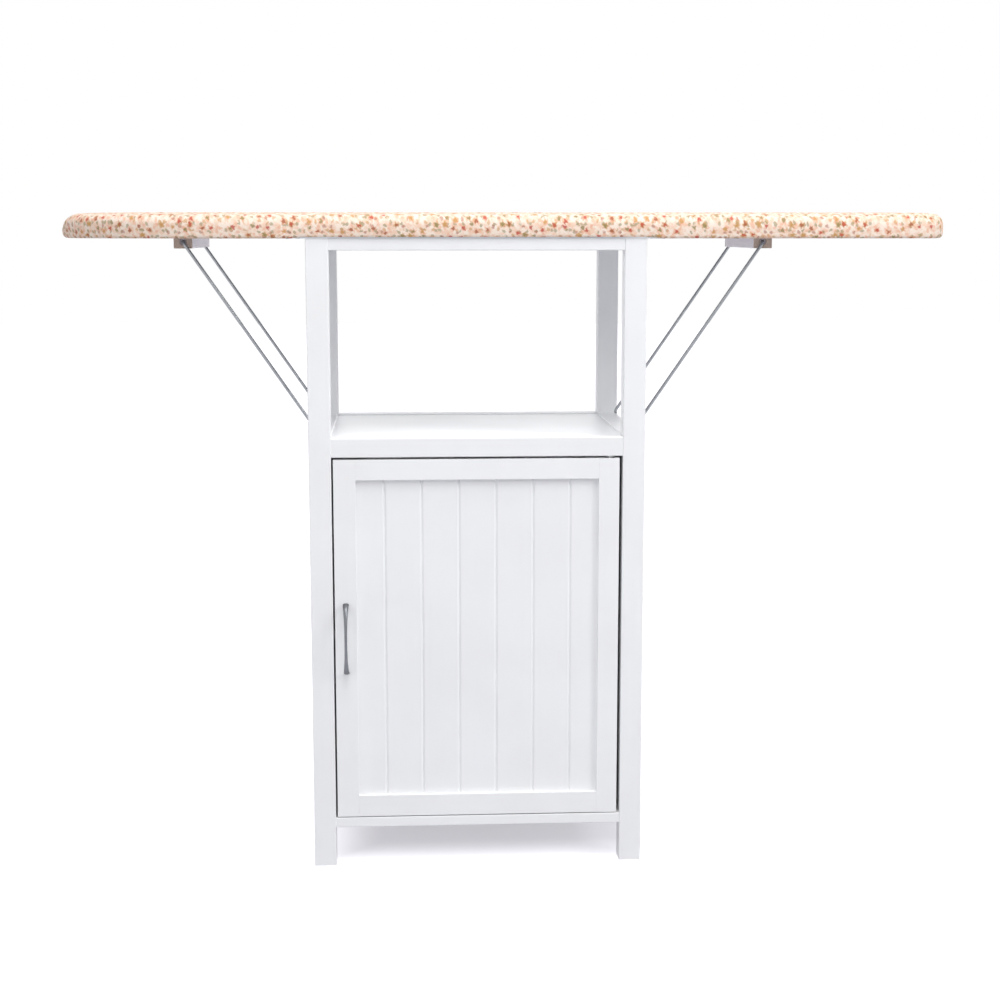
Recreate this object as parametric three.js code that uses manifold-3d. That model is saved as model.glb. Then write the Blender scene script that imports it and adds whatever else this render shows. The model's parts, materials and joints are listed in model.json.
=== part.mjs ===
// Ironing board cabinet: a narrow painted cupboard with an open niche, under a padded
// ironing board whose two ends are drop leaves, each held up by a pivoting wire stay.
//
// Millimetres, +Z up. Inside the cabinet group X runs from the cabinet's centre line to
// the right, Y from the posts' front faces to the back, and Z from the floor up. The
// outermost group moves that frame to the centre of the base of the whole piece.
import * as THREE from 'three';
import { mergeVertices } from 'three/addons/utils/BufferGeometryUtils.js';
import Module from 'manifold-3d';

const wasm = await Module();
wasm.setup();

// ---------------------------------------------------------------- driving dimensions

// Carcass
const cabinetWidth = 456;
const cabinetDepth = 345;
const postSide = 30;
const edgeEase = 1.2;
const railThickness = 18;
const railSetback = 1;
const topRailHeight = 17;
const shelfTop = 600;
const shelfRailHeight = 26;
const shelfSideRailThickness = 28;
const shelfDeckDrop = 2;
const bottomRailTop = 69;
const bottomRailHeight = 14;
const deckThickness = 12;
const sidePanelThickness = 9;
const sidePanelSetback = 6;
const backPanelThickness = 4;
const backPanelSetback = 1;

// Inner shelf, on a cleat at each side
const innerShelfTop = 328;
const innerShelfThickness = 12;
const innerShelfSetback = 34;
const innerShelfSideGap = 0.5;
const innerShelfBackGap = 2;
const cleatWidth = 12;
const cleatHeight = 18;

// Door
const doorThickness = 18;
const doorSetback = 1;
const doorEdgeEase = 0.4;
const doorGapHandleSide = 2.5;
const doorGapHingeSide = 4.3;
const doorGapTop = 3;
const doorGapBottom = 1.5;
const handleStileWidth = 30;
const hingeStileWidth = 28;
const doorTopRailHeight = 28;
const doorBottomRailHeight = 30;
const beadPanelRecess = 6;
const beadPanelThickness = 8;
const beadBoardCount = 7;
const beadBoardPitch = 50.7;
const beadGrooveWidth = 3;
const beadGrooveDepth = 2;

// Door pivots: a pin at the top and one at the bottom, each turning in a bush
const pivotFromDoorEdge = 12;
const pivotPinRadius = 2.4;
const pivotPinInDoor = 14;
const pivotPinInBush = 8;
const pivotPinFit = 0.1;
const pivotRunningClearance = 0.2;
const bushWall = 1.4;
const bushDepth = 9;
const bushFlangeRadius = 6.5;
const bushFlangeThickness = 1;
const bushFit = 0.1;

// Catch
const catchWidth = 42;
const catchDepth = 13;
const catchHeight = 30;
const catchFromHandleSide = 46;
const catchAirGap = 0.3;
const strikeHeight = 12;
const strikeThickness = 1;

// Bow handle
const handleLength = 100;
const handleCentreHeight = 324;
const handleStandoff = 25;
const handleMidRadius = 2.3;
const handleEndFlare = 1.9;
const handleScrewRadius = 1.6;
const handleScrewHeadRadius = 3.6;
const handleScrewHeadHeight = 2;
const handleScrewFit = 0.2;

// Board: wooden core, with padding and cover round it
const boardTop = 900;
const boardThickness = 32;
const boardOverhang = 5;
const coreThickness = 16;
const coverWall = 3;
const coverFit = 0.3;
const squareLeafLength = 384;
const squareCornerRadius = 40;
const noseLeafLength = 321;
const noseStraightLength = 47;
const noseShoulderLength = 187;
const noseTipHalfWidth = 102;

// Leaf hinges
const hingeLineOverhang = 25;
const leafGap = 1;
const hingeKnuckleRadius = 2;
const hingePinRadius = 1;
const hingeBoreRadius = 1.2;
const hingePlateThickness = 1.2;
const hingeRebateClearance = 0.4;
const hingePlateGap = 3;
const hingeEndInset = 22.5;
const hingeKnuckleCount = 9;
const hingeKnuckleGap = 0.4;
const hingeTurningClearance = 0.4;

// Battens and wire stays
const battenWidth = 25;
const battenHeight = 15;
const battenEndInset = 69;
const stayPivotOffset = 143;
const stayPivotDrop = 6;
const stayWireRadius = 2.2;
const stayRunningClearance = 0.25;
const stayBendRadius = 6;
const stayArmClearance = 1.8;
const stayStagger = 4;
const stayMouthRadius = 4.5;
const stayMouthDepth = 3;
const stayKneeHeight = 9;
const stayTipInset = 5.5;
const stayTipClearance = 1.5;
const stayHoleClearance = 0.6;
const stayHoleDepth = 12;

// --------------------------------------------------------------- worked-out positions

const boardUnderside = boardTop - boardThickness;
const coreTop = boardUnderside + coreThickness;
const halfWidth = cabinetWidth / 2;
const innerHalf = halfWidth - postSide;
const rearPostFront = cabinetDepth - postSide;
const depthCentre = cabinetDepth / 2;
const boardFront = -boardOverhang;
const boardBack = cabinetDepth + boardOverhang;
const railOuterX = halfWidth - railSetback;
const railInnerX = railOuterX - railThickness;
const shelfRailInnerX = railOuterX - shelfSideRailThickness;
const shelfDeckTop = shelfTop - shelfDeckDrop;
const frontRailBack = railSetback + railThickness;
const backPanelBack = cabinetDepth - backPanelSetback;
const backPanelFront = backPanelBack - backPanelThickness;
const rearRailFront = backPanelFront - railThickness;
const shelfRailUnderside = shelfTop - shelfRailHeight;
const bottomRailUnderside = bottomRailTop - bottomRailHeight;
const topRailUnderside = boardUnderside - topRailHeight;
const sidePanelOuterX = halfWidth - sidePanelSetback;
const sidePanelInnerX = sidePanelOuterX - sidePanelThickness;

const doorLeft = -innerHalf + doorGapHandleSide;
const doorRight = innerHalf - doorGapHingeSide;
const doorBottom = bottomRailTop + doorGapBottom;
const doorTop = shelfRailUnderside - doorGapTop;
const doorFront = doorSetback;
const doorBack = doorFront + doorThickness;
const beadLeft = doorLeft + handleStileWidth;
const beadRight = doorRight - hingeStileWidth;
const beadBottom = doorBottom + doorBottomRailHeight;
const beadTop = doorTop - doorTopRailHeight;
const pivotX = doorRight - pivotFromDoorEdge;
const pivotY = doorFront + doorThickness / 2;
const bushBoreRadius = pivotPinRadius + pivotRunningClearance;
const bushRadius = bushBoreRadius + bushWall;

const handleX = doorLeft + handleStileWidth / 2;
const handleFoot = handleLength / 2 - handleMidRadius;

const hingeLineReach = halfWidth + hingeLineOverhang;
const hingePlateReach = hingeLineOverhang - hingePlateGap;
const hingeLength = boardBack - boardFront - 2 * hingeEndInset;
const hingeAxisZ = boardUnderside;
const squareReach = hingeLineReach + squareLeafLength;
const noseReach = hingeLineReach + noseLeafLength;
const noseTaperReach = hingeLineReach + noseStraightLength;
const noseShoulderReach = hingeLineReach + noseShoulderLength;
const stayPivotReach = hingeLineReach + stayPivotOffset;
const stayTipReach = halfWidth - stayTipInset;
const battenLength = boardBack - boardFront - 2 * battenEndInset;
const stayPivotZ = boardUnderside - stayPivotDrop;
const battenUnderside = boardUnderside - battenHeight;
const stayArmOffset = battenLength / 2 + stayWireRadius + stayArmClearance;

const roundSteps = 24;
const screwSteps = 10;
const wireSides = 10;

// -------------------------------------------------------------------------- materials

const paint = { color: 0xf0f1f4, roughness: 0.45, metalness: 0 };
const finishes = {
  carcass: paint,
  door: paint,
  hardboard: { color: 0xe9eaed, roughness: 0.6, metalness: 0 },
  batten: { color: 0xe6dfe2, roughness: 0.6, metalness: 0 },
  core: { color: 0xe4e5e7, roughness: 0.6, metalness: 0 },
  cover: { color: 0xf2dcc8, roughness: 0.9, metalness: 0 },
  wire: { color: 0x8c9092, roughness: 0.35, metalness: 0.9 },
  nickel: { color: 0xb9b7b5, roughness: 0.3, metalness: 0.9 },
  zinc: { color: 0xb4b7ba, roughness: 0.4, metalness: 0.9 },
  nylon: { color: 0xe4e4e0, roughness: 0.5, metalness: 0 },
  catch: { color: 0xdcdcd8, roughness: 0.5, metalness: 0 },
};

function named(name, geometry, finish) {
  const mesh = new THREE.Mesh(geometry, new THREE.MeshStandardMaterial(finishes[finish]));
  mesh.name = name;
  return mesh;
}

// ------------------------------------------------------------------- solids and shapes

// A closed geometry as a solid that can be joined and cut.
function solid(geometry) {
  const bare = geometry.index ? geometry.toNonIndexed() : geometry.clone();
  bare.deleteAttribute('normal');
  bare.deleteAttribute('uv');
  const welded = mergeVertices(bare, 1e-4);
  const corners = welded.index.array;
  const triVerts = [];
  for (let i = 0; i < corners.length; i += 3) {
    const [a, b, c] = [corners[i], corners[i + 1], corners[i + 2]];
    if (a !== b && b !== c && c !== a) triVerts.push(a, b, c);
  }
  const vertProperties = welded.attributes.position.array;
  return new wasm.Manifold(
    new wasm.Mesh({ numProp: 3, vertProperties, triVerts: new Uint32Array(triVerts) }),
  );
}

function geometryOf(made) {
  const mesh = made.getMesh();
  const indexed = new THREE.BufferGeometry();
  indexed.setAttribute('position', new THREE.BufferAttribute(mesh.vertProperties, 3));
  indexed.setIndex(new THREE.BufferAttribute(mesh.triVerts, 1));
  const faceted = indexed.toNonIndexed();
  faceted.computeVertexNormals();
  return faceted;
}

function cut(geometry, ...tools) {
  return geometryOf(tools.reduce((left, tool) => left.subtract(solid(tool)), solid(geometry)));
}

function joined(...geometries) {
  return geometryOf(geometries.map(solid).reduce((all, next) => all.add(next)));
}

// The frame in which an outline is drawn when it is extruded along each axis.
const outlineFrames = {
  x: [new THREE.Vector3(0, 1, 0), new THREE.Vector3(0, 0, 1), new THREE.Vector3(1, 0, 0)],
  y: [new THREE.Vector3(0, 0, 1), new THREE.Vector3(1, 0, 0), new THREE.Vector3(0, 1, 0)],
  z: [new THREE.Vector3(1, 0, 0), new THREE.Vector3(0, 1, 0), new THREE.Vector3(0, 0, 1)],
};

// An outline extruded along an axis, with its two ends at exactly the given places.
function extruded(outline, axis, start, end, curveSegments = 6) {
  const geometry = new THREE.ExtrudeGeometry(outline, {
    depth: 1,
    bevelEnabled: false,
    curveSegments,
  });
  const position = geometry.attributes.position;
  for (let i = 0; i < position.count; i += 1) {
    position.setZ(i, position.getZ(i) < 0.5 ? start : end);
  }
  return geometry.applyMatrix4(new THREE.Matrix4().makeBasis(...outlineFrames[axis]));
}

function roundedOutline(a0, b0, a1, b1, radius) {
  const outline = new THREE.Shape();
  outline.moveTo(a0 + radius, b0);
  outline.lineTo(a1 - radius, b0);
  outline.absarc(a1 - radius, b0 + radius, radius, -Math.PI / 2, 0, false);
  outline.lineTo(a1, b1 - radius);
  outline.absarc(a1 - radius, b1 - radius, radius, 0, Math.PI / 2, false);
  outline.lineTo(a0 + radius, b1);
  outline.absarc(a0 + radius, b1 - radius, radius, Math.PI / 2, Math.PI, false);
  outline.lineTo(a0, b0 + radius);
  outline.absarc(a0 + radius, b0 + radius, radius, Math.PI, Math.PI * 1.5, false);
  outline.closePath();
  return outline;
}

// A length of timber between two corners, with eased edges along its grain.
function timber(grain, low, high, ease = edgeEase) {
  const [a, b, along] = { x: [1, 2, 0], y: [2, 0, 1], z: [0, 1, 2] }[grain];
  const outline = roundedOutline(low[a], low[b], high[a], high[b], ease);
  return extruded(outline, grain, low[along], high[along], 2);
}

function polygon(points) {
  return new THREE.Shape(points.map(([a, b]) => new THREE.Vector2(a, b)));
}

// A plain block between two corners.
function block(low, high) {
  const outline = polygon([
    [low[0], low[1]],
    [high[0], low[1]],
    [high[0], high[1]],
    [low[0], high[1]],
  ]);
  return extruded(outline, 'z', low[2], high[2]);
}

// A turned piece: a profile of [radius, height] pairs about an axis through a point.
function turned(profile, at, direction, steps = roundSteps) {
  const points = profile.map(([radius, height]) => new THREE.Vector2(radius, height));
  const lathe = new THREE.LatheGeometry(points, steps);
  const up = new THREE.Vector3(0, 1, 0);
  const turn = new THREE.Quaternion().setFromUnitVectors(up, new THREE.Vector3(...direction));
  return lathe.applyQuaternion(turn).translate(...at);
}

function rod(radius, at, direction, length, steps = roundSteps) {
  const profile = [
    [0, 0],
    [radius, 0],
    [radius, length],
    [0, length],
  ];
  return turned(profile, at, direction, steps);
}

// --------------------------------------------------------------------------- cabinet

function post(side, front) {
  const outer = side * halfWidth;
  const inner = side * innerHalf;
  const y0 = front ? 0 : rearPostFront;
  const low = [Math.min(outer, inner), y0, 0];
  const high = [Math.max(outer, inner), y0 + postSide, boardUnderside];
  return timber('z', low, high);
}

// The four rails of one level of the carcass, between the posts.
function railSet(level, underside, top, rearFront, rearBack, sideInnerX = railInnerX) {
  const front = timber('x', [-innerHalf, railSetback, underside], [innerHalf, frontRailBack, top]);
  const rear = timber('x', [-innerHalf, rearFront, underside], [innerHalf, rearBack, top]);
  const side = (sign) => {
    const xs = [sign * sideInnerX, sign * railOuterX].sort((a, b) => a - b);
    return timber('y', [xs[0], postSide, underside], [xs[1], rearPostFront, top]);
  };
  return { [`${level}_front`]: front, [`${level}_rear`]: rear, left: side(-1), right: side(1) };
}

// A deck that lies inside a set of rails, notched round the four posts.
function deck(top, right) {
  const front = frontRailBack;
  const back = rearRailFront;
  const outline = polygon([
    [-innerHalf, front],
    [innerHalf, front],
    [innerHalf, postSide],
    [right, postSide],
    [right, rearPostFront],
    [innerHalf, rearPostFront],
    [innerHalf, back],
    [-innerHalf, back],
    [-innerHalf, rearPostFront],
    [-right, rearPostFront],
    [-right, postSide],
    [-innerHalf, postSide],
  ]);
  return extruded(outline, 'z', top - deckThickness, top);
}

function sidePanel(sign) {
  const xs = [sign * sidePanelInnerX, sign * sidePanelOuterX].sort((a, b) => a - b);
  return block([xs[0], postSide, bottomRailTop], [xs[1], rearPostFront, shelfRailUnderside]);
}

// The strip of wood on a side panel that carries one end of the inner shelf.
function shelfCleat(sign) {
  const xs = [sign * sidePanelInnerX, sign * (sidePanelInnerX - cleatWidth)].sort((a, b) => a - b);
  const top = innerShelfTop - innerShelfThickness;
  return timber('y', [xs[0], innerShelfSetback, top - cleatHeight], [xs[1], rearPostFront, top]);
}

function innerShelf() {
  const half = sidePanelInnerX - innerShelfSideGap;
  const low = [-half, innerShelfSetback, innerShelfTop - innerShelfThickness];
  const high = [half, rearPostFront - innerShelfBackGap, innerShelfTop];
  return timber('x', low, high);
}

function backPanel() {
  return block(
    [-innerHalf, backPanelFront, bottomRailUnderside],
    [innerHalf, backPanelBack, shelfTop],
  );
}

// A bush in a rail, seen along the direction in which its pin leaves the door.
function bush(railFace, direction) {
  const profile = [
    [bushBoreRadius, -bushFlangeThickness],
    [bushFlangeRadius, -bushFlangeThickness],
    [bushFlangeRadius, 0],
    [bushRadius, 0],
    [bushRadius, bushDepth],
    [bushBoreRadius, bushDepth],
    [bushBoreRadius, -bushFlangeThickness],
  ];
  return turned(profile, [pivotX, pivotY, railFace], [0, 0, direction]);
}

function bushHole(railFace, direction) {
  const start = [pivotX, pivotY, railFace - direction];
  return rod(bushRadius + bushFit, start, [0, 0, direction], bushDepth + bushFit + 1);
}

function magneticCatch() {
  const x0 = doorLeft + catchFromHandleSide;
  const y0 = doorBack + strikeThickness + catchAirGap;
  const deckUnderside = shelfDeckTop - deckThickness;
  const body = block(
    [x0, y0, deckUnderside - catchHeight],
    [x0 + catchWidth, y0 + catchDepth, deckUnderside],
  );
  return body;
}

// ------------------------------------------------------------------------------- door

function doorPiece(low, high, grain) {
  return timber(grain, [low[0], doorFront, low[1]], [high[0], doorBack, high[1]], doorEdgeEase);
}

function pivotHole(doorEnd, direction) {
  const start = [pivotX, pivotY, doorEnd - direction * (pivotPinInDoor + pivotPinFit)];
  const length = pivotPinInDoor + pivotPinFit + 1;
  return rod(pivotPinRadius + pivotPinFit, start, [0, 0, direction], length);
}

function pivotPin(doorEnd, direction, gap) {
  const start = [pivotX, pivotY, doorEnd - direction * pivotPinInDoor];
  const length = pivotPinInDoor + gap + pivotPinInBush;
  const profile = [
    [0, 0],
    [pivotPinRadius, 0],
    [pivotPinRadius, length - 1],
    [pivotPinRadius - 0.8, length],
    [0, length],
  ];
  return turned(profile, start, [0, 0, direction]);
}

function handleFeet() {
  return [handleCentreHeight - handleFoot, handleCentreHeight + handleFoot];
}

function handleStile() {
  const stile = doorPiece([doorLeft, doorBottom], [beadLeft, doorTop], 'z');
  const holes = handleFeet().map((z) =>
    rod(
      handleScrewRadius + handleScrewFit,
      [handleX, doorFront - 1, z],
      [0, 1, 0],
      doorThickness + 2,
      screwSteps,
    ),
  );
  return cut(stile, ...holes);
}

function hingeStile() {
  const stile = doorPiece([beadRight, doorBottom], [doorRight, doorTop], 'z');
  return cut(stile, pivotHole(doorTop, 1), pivotHole(doorBottom, -1));
}

// The panel of tongued boards: flat boards of one pitch, with a V between each pair.
function beadPanel() {
  const front = doorFront + beadPanelRecess;
  const back = front + beadPanelThickness;
  const middle = (beadLeft + beadRight) / 2;
  const points = [[beadLeft, front]];
  for (let i = 1; i < beadBoardCount; i += 1) {
    const x = middle + (i - beadBoardCount / 2) * beadBoardPitch;
    points.push([x - beadGrooveWidth / 2, front]);
    points.push([x, front + beadGrooveDepth]);
    points.push([x + beadGrooveWidth / 2, front]);
  }
  points.push([beadRight, front], [beadRight, back], [beadLeft, back]);
  return extruded(polygon(points), 'z', beadBottom, beadTop);
}

// The bow: a round bar on a flat arc, which widens into a foot at each end.
function handle() {
  const [low, high] = handleFeet();
  const reach = handleStandoff - handleMidRadius;
  const pull = doorFront - (reach * 4) / 3;
  const path = new THREE.CubicBezierCurve3(
    new THREE.Vector3(handleX, doorFront, low),
    new THREE.Vector3(handleX, pull, low),
    new THREE.Vector3(handleX, pull, high),
    new THREE.Vector3(handleX, doorFront, high),
  );
  const section = new THREE.Shape();
  section.absarc(0, 0, handleMidRadius, 0, Math.PI * 2, false);
  const bow = new THREE.ExtrudeGeometry(section, {
    steps: 28,
    curveSegments: 12,
    extrudePath: path,
  });
  const position = bow.attributes.position;
  for (let i = 0; i < position.count; i += 1) {
    const away = Math.abs(position.getZ(i) - handleCentreHeight) / handleFoot;
    const flare = 1 + (handleEndFlare - 1) * Math.min(away, 1) ** 3;
    position.setX(i, handleX + (position.getX(i) - handleX) * flare);
  }
  return bow;
}

function handleScrew(z) {
  const length = doorThickness + handleScrewHeadHeight;
  const profile = [
    [0, 0],
    [handleScrewHeadRadius * 0.7, 0],
    [handleScrewHeadRadius, handleScrewHeadHeight * 0.5],
    [handleScrewHeadRadius, handleScrewHeadHeight],
    [handleScrewRadius, handleScrewHeadHeight],
    [handleScrewRadius, length],
    [0, length],
  ];
  return turned(profile, [handleX, doorBack + handleScrewHeadHeight, z], [0, -1, 0], screwSteps);
}

function strikePlate() {
  const x0 = doorLeft + catchFromHandleSide;
  return block(
    [x0, doorBack, doorTop - strikeHeight],
    [x0 + catchWidth, doorBack + strikeThickness, doorTop],
  );
}

// ------------------------------------------------------------------------------ board

// Half of the board's outline, beyond the given reach from the cabinet's centre line and
// drawn in from the cover's outside by the inset.
function squareEnd(from, inset) {
  const front = boardFront + inset;
  const back = boardBack - inset;
  const end = squareReach - inset;
  const radius = squareCornerRadius - inset;
  const outline = new THREE.Shape();
  outline.moveTo(from, front);
  outline.lineTo(end - radius, front);
  outline.absarc(end - radius, front + radius, radius, -Math.PI / 2, 0, false);
  outline.lineTo(end, back - radius);
  outline.absarc(end - radius, back - radius, radius, 0, Math.PI / 2, false);
  outline.lineTo(from, back);
  outline.closePath();
  return outline;
}

function noseEnd(from, inset) {
  const front = boardFront + inset;
  const back = boardBack - inset;
  const tip = -(noseReach - inset);
  const outline = new THREE.Shape();
  outline.moveTo(-from, front);
  outline.lineTo(-noseTaperReach, front);
  outline.bezierCurveTo(
    -noseShoulderReach, front,
    tip, depthCentre - noseTipHalfWidth,
    tip, depthCentre,
  );
  outline.bezierCurveTo(
    tip, depthCentre + noseTipHalfWidth,
    -noseShoulderReach, back,
    -noseTaperReach, back,
  );
  outline.lineTo(-from, back);
  outline.closePath();
  return outline;
}

const ends = { '-1': noseEnd, 1: squareEnd };
const leafStart = hingeLineReach + leafGap / 2;
const centreReach = hingeLineReach - leafGap / 2;
const coreInset = coverWall + coverFit;
const endSteps = 14;

// The groove along a board's lower edge in which the hinge's knuckles turn.
function knuckleRebate(sign) {
  const radius = hingeKnuckleRadius + hingeRebateClearance;
  const length = hingeLength + 2 * hingeRebateClearance;
  const start = [sign * hingeLineReach, depthCentre - length / 2, hingeAxisZ];
  return rod(radius, start, [0, 1, 0], length, roundSteps);
}

function leafCore(sign) {
  const outline = ends[sign](leafStart, coreInset);
  const core = extruded(outline, 'z', boardUnderside, coreTop, endSteps);
  return cut(core, knuckleRebate(sign));
}

// Padding and cover over a leaf, hollow underneath for the core and open to the hinge line.
function leafPad(sign) {
  const outer = extruded(ends[sign](leafStart, 0), 'z', boardUnderside, boardTop, endSteps);
  const pocketOutline = ends[sign](leafStart - 1, coverWall);
  const pocketTop = coreTop + coverFit;
  const pocket = extruded(pocketOutline, 'z', boardUnderside - 1, pocketTop, endSteps);
  return cut(outer, pocket);
}

function centreCore() {
  const core = block(
    [-centreReach, boardFront + coreInset, boardUnderside],
    [centreReach, boardBack - coreInset, coreTop],
  );
  return cut(core, knuckleRebate(-1), knuckleRebate(1));
}

function centrePad() {
  const outer = block(
    [-centreReach, boardFront, boardUnderside],
    [centreReach, boardBack, boardTop],
  );
  const pocket = block(
    [-centreReach - 1, boardFront + coverWall, boardUnderside - 1],
    [centreReach + 1, boardBack - coverWall, coreTop + coverFit],
  );
  return cut(outer, pocket);
}

// ------------------------------------------------------------------------ leaf hinges

// One leaf of a continuous hinge: a plate under the board with every other knuckle. The
// way is +1 where the plate lies further out than the axis.
function hingeLeaf(sign, way, firstKnuckle) {
  const axisX = sign * hingeLineReach;
  const outward = sign * way;
  const pitch = hingeLength / hingeKnuckleCount;
  const y0 = depthCentre - hingeLength / 2;
  const plateBottom = boardUnderside - hingePlateThickness;
  const clear = hingeKnuckleRadius + hingeTurningClearance;
  const span = (near, far) => [axisX + outward * near, axisX + outward * far].sort((a, b) => a - b);
  const plateX = span(clear, hingePlateReach);
  const webX = span(0, clear + 1);
  const plateEnd = y0 + hingeLength;
  const bodies = [block([plateX[0], y0, plateBottom], [plateX[1], plateEnd, boardUnderside])];
  for (let index = firstKnuckle; index < hingeKnuckleCount; index += 2) {
    const start = y0 + index * pitch + hingeKnuckleGap / 2;
    const end = y0 + (index + 1) * pitch - hingeKnuckleGap / 2;
    bodies.push(block([webX[0], start, plateBottom], [webX[1], end, boardUnderside]));
    bodies.push(rod(hingeKnuckleRadius, [axisX, start, hingeAxisZ], [0, 1, 0], end - start, 16));
  }
  const boreStart = [axisX, y0 - 1, hingeAxisZ];
  const bore = rod(hingeBoreRadius, boreStart, [0, 1, 0], hingeLength + 2, 16);
  return cut(joined(...bodies), bore);
}

function hingePin(sign) {
  const start = [sign * hingeLineReach, depthCentre - hingeLength / 2, hingeAxisZ];
  return rod(hingePinRadius, start, [0, 1, 0], hingeLength, 16);
}

// ------------------------------------------------------------------ battens and stays

function stayCentreY(sign) {
  return depthCentre - sign * stayStagger;
}

function batten(sign) {
  const centreX = sign * stayPivotReach;
  const y0 = stayCentreY(sign) - battenLength / 2;
  const y1 = y0 + battenLength;
  const body = timber(
    'y',
    [centreX - battenWidth / 2, y0, battenUnderside],
    [centreX + battenWidth / 2, y1, boardUnderside],
    1,
  );
  const boreRadius = stayWireRadius + stayRunningClearance;
  const bore = rod(boreRadius, [centreX, y0 - 1, stayPivotZ], [0, 1, 0], battenLength + 2);
  const mouth = (y) =>
    rod(stayMouthRadius, [centreX, y, stayPivotZ], [0, 1, 0], stayMouthDepth + 1, 16);
  return cut(body, bore, mouth(y0 - 1), mouth(y1 - stayMouthDepth));
}

// Wire bent along a few corners: each corner inside the route is rounded by an arc.
class BentWire extends THREE.Curve {
  constructor(corners, radii) {
    super();
    this.points = [corners[0]];
    for (let i = 1; i < corners.length - 1; i += 1) {
      this.points.push(...BentWire.bend(corners[i - 1], corners[i], corners[i + 1], radii[i - 1]));
    }
    this.points.push(corners[corners.length - 1]);
  }

  static bend(before, corner, after, radius) {
    const inward = before.clone().sub(corner).normalize();
    const outward = after.clone().sub(corner).normalize();
    const half = inward.angleTo(outward) / 2;
    const reach = radius / Math.tan(half);
    const start = corner.clone().addScaledVector(inward, reach);
    const end = corner.clone().addScaledVector(outward, reach);
    const steps = 4;
    const arc = new THREE.QuadraticBezierCurve3(start, corner, end);
    return arc.getPoints(steps);
  }

  getPoint(t) {
    const last = this.points.length - 1;
    const place = Math.min(t * last, last - 1e-9);
    const index = Math.floor(place);
    return this.points[index].clone().lerp(this.points[index + 1], place - index);
  }

  getPointAt(u) {
    return this.getPoint(u);
  }

  getTangentAt(u) {
    return this.getTangent(u);
  }
}

function wire(route, radii) {
  const path = new BentWire(route.map((point) => new THREE.Vector3(...point)), radii);
  const section = new THREE.Shape();
  section.absarc(0, 0, stayWireRadius, 0, Math.PI * 2, false);
  return new THREE.ExtrudeGeometry(section, {
    steps: path.points.length - 1,
    curveSegments: wireSides / 2,
    extrudePath: path,
  });
}

// One leg of the U-shaped stay: out of the batten's bore, down to a knee just above the
// shelf rail, and on to the tip that drops into the rail's hole.
function stayArm(sign, end) {
  const armY = stayCentreY(sign) + end * stayArmOffset;
  const x = sign * stayPivotReach;
  const route = [
    [x, armY - end * stayBendRadius * 2, stayPivotZ],
    [x, armY, stayPivotZ],
    [sign * stayTipReach, armY, shelfTop + stayKneeHeight],
    [sign * stayTipReach, armY, shelfTop + stayTipClearance],
  ];
  return wire(route, [stayBendRadius, stayWireRadius]);
}

function stayRod(sign) {
  const reach = stayArmOffset - stayBendRadius * 2;
  const start = [sign * stayPivotReach, stayCentreY(sign) - reach, stayPivotZ];
  return rod(stayWireRadius, start, [0, 1, 0], reach * 2, wireSides);
}

// The hole in the shelf's side rail that each stay tip drops into.
function stayHoles(sign) {
  return [-1, 1].map((end) => {
    const y = stayCentreY(sign) + end * stayArmOffset;
    const start = [sign * stayTipReach, y, shelfTop - stayHoleDepth];
    const radius = stayWireRadius + stayHoleClearance;
    return rod(radius, start, [0, 0, 1], stayHoleDepth + 1, 16);
  });
}

// --------------------------------------------------------------------------- assembly

const cabinet = new THREE.Group();
for (const [sideName, sign] of [['left', -1], ['right', 1]]) {
  cabinet.add(named(`post_front_${sideName}`, post(sign, true), 'carcass'));
  cabinet.add(named(`post_rear_${sideName}`, post(sign, false), 'carcass'));
}

const rearSetback = cabinetDepth - railSetback;
const topRails = railSet(
  'top_rail', topRailUnderside, boardUnderside, rearSetback - railThickness, rearSetback,
);
const shelfRails = railSet(
  'shelf_rail', shelfRailUnderside, shelfTop, rearRailFront, backPanelFront, shelfRailInnerX,
);
const bottomRails = railSet(
  'bottom_rail', bottomRailUnderside, bottomRailTop, rearRailFront, backPanelFront,
);
cabinet.add(named('top_rail_front', topRails.top_rail_front, 'carcass'));
cabinet.add(named('top_rail_rear', topRails.top_rail_rear, 'carcass'));
cabinet.add(named('top_rail_left', topRails.left, 'carcass'));
cabinet.add(named('top_rail_right', topRails.right, 'carcass'));
const shelfRailFront = cut(shelfRails.shelf_rail_front, bushHole(shelfRailUnderside, 1));
cabinet.add(named('shelf_rail_front', shelfRailFront, 'carcass'));
cabinet.add(named('shelf_rail_rear', shelfRails.shelf_rail_rear, 'carcass'));
cabinet.add(named('shelf_rail_left', cut(shelfRails.left, ...stayHoles(-1)), 'carcass'));
cabinet.add(named('shelf_rail_right', cut(shelfRails.right, ...stayHoles(1)), 'carcass'));
const bottomRailFront = cut(bottomRails.bottom_rail_front, bushHole(bottomRailTop, -1));
cabinet.add(named('bottom_rail_front', bottomRailFront, 'carcass'));
cabinet.add(named('bottom_rail_rear', bottomRails.bottom_rail_rear, 'carcass'));
cabinet.add(named('bottom_rail_left', bottomRails.left, 'carcass'));
cabinet.add(named('bottom_rail_right', bottomRails.right, 'carcass'));
cabinet.add(named('shelf_deck', deck(shelfDeckTop, shelfRailInnerX), 'carcass'));
cabinet.add(named('floor_deck', deck(bottomRailTop, railInnerX), 'carcass'));
cabinet.add(named('side_panel_left', sidePanel(-1), 'carcass'));
cabinet.add(named('side_panel_right', sidePanel(1), 'carcass'));
cabinet.add(named('back_panel', backPanel(), 'hardboard'));
cabinet.add(named('inner_shelf', innerShelf(), 'carcass'));
cabinet.add(named('shelf_cleat_left', shelfCleat(-1), 'carcass'));
cabinet.add(named('shelf_cleat_right', shelfCleat(1), 'carcass'));
cabinet.add(named('pivot_bush_top', bush(shelfRailUnderside, 1), 'nylon'));
cabinet.add(named('pivot_bush_bottom', bush(bottomRailTop, -1), 'nylon'));
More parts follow.
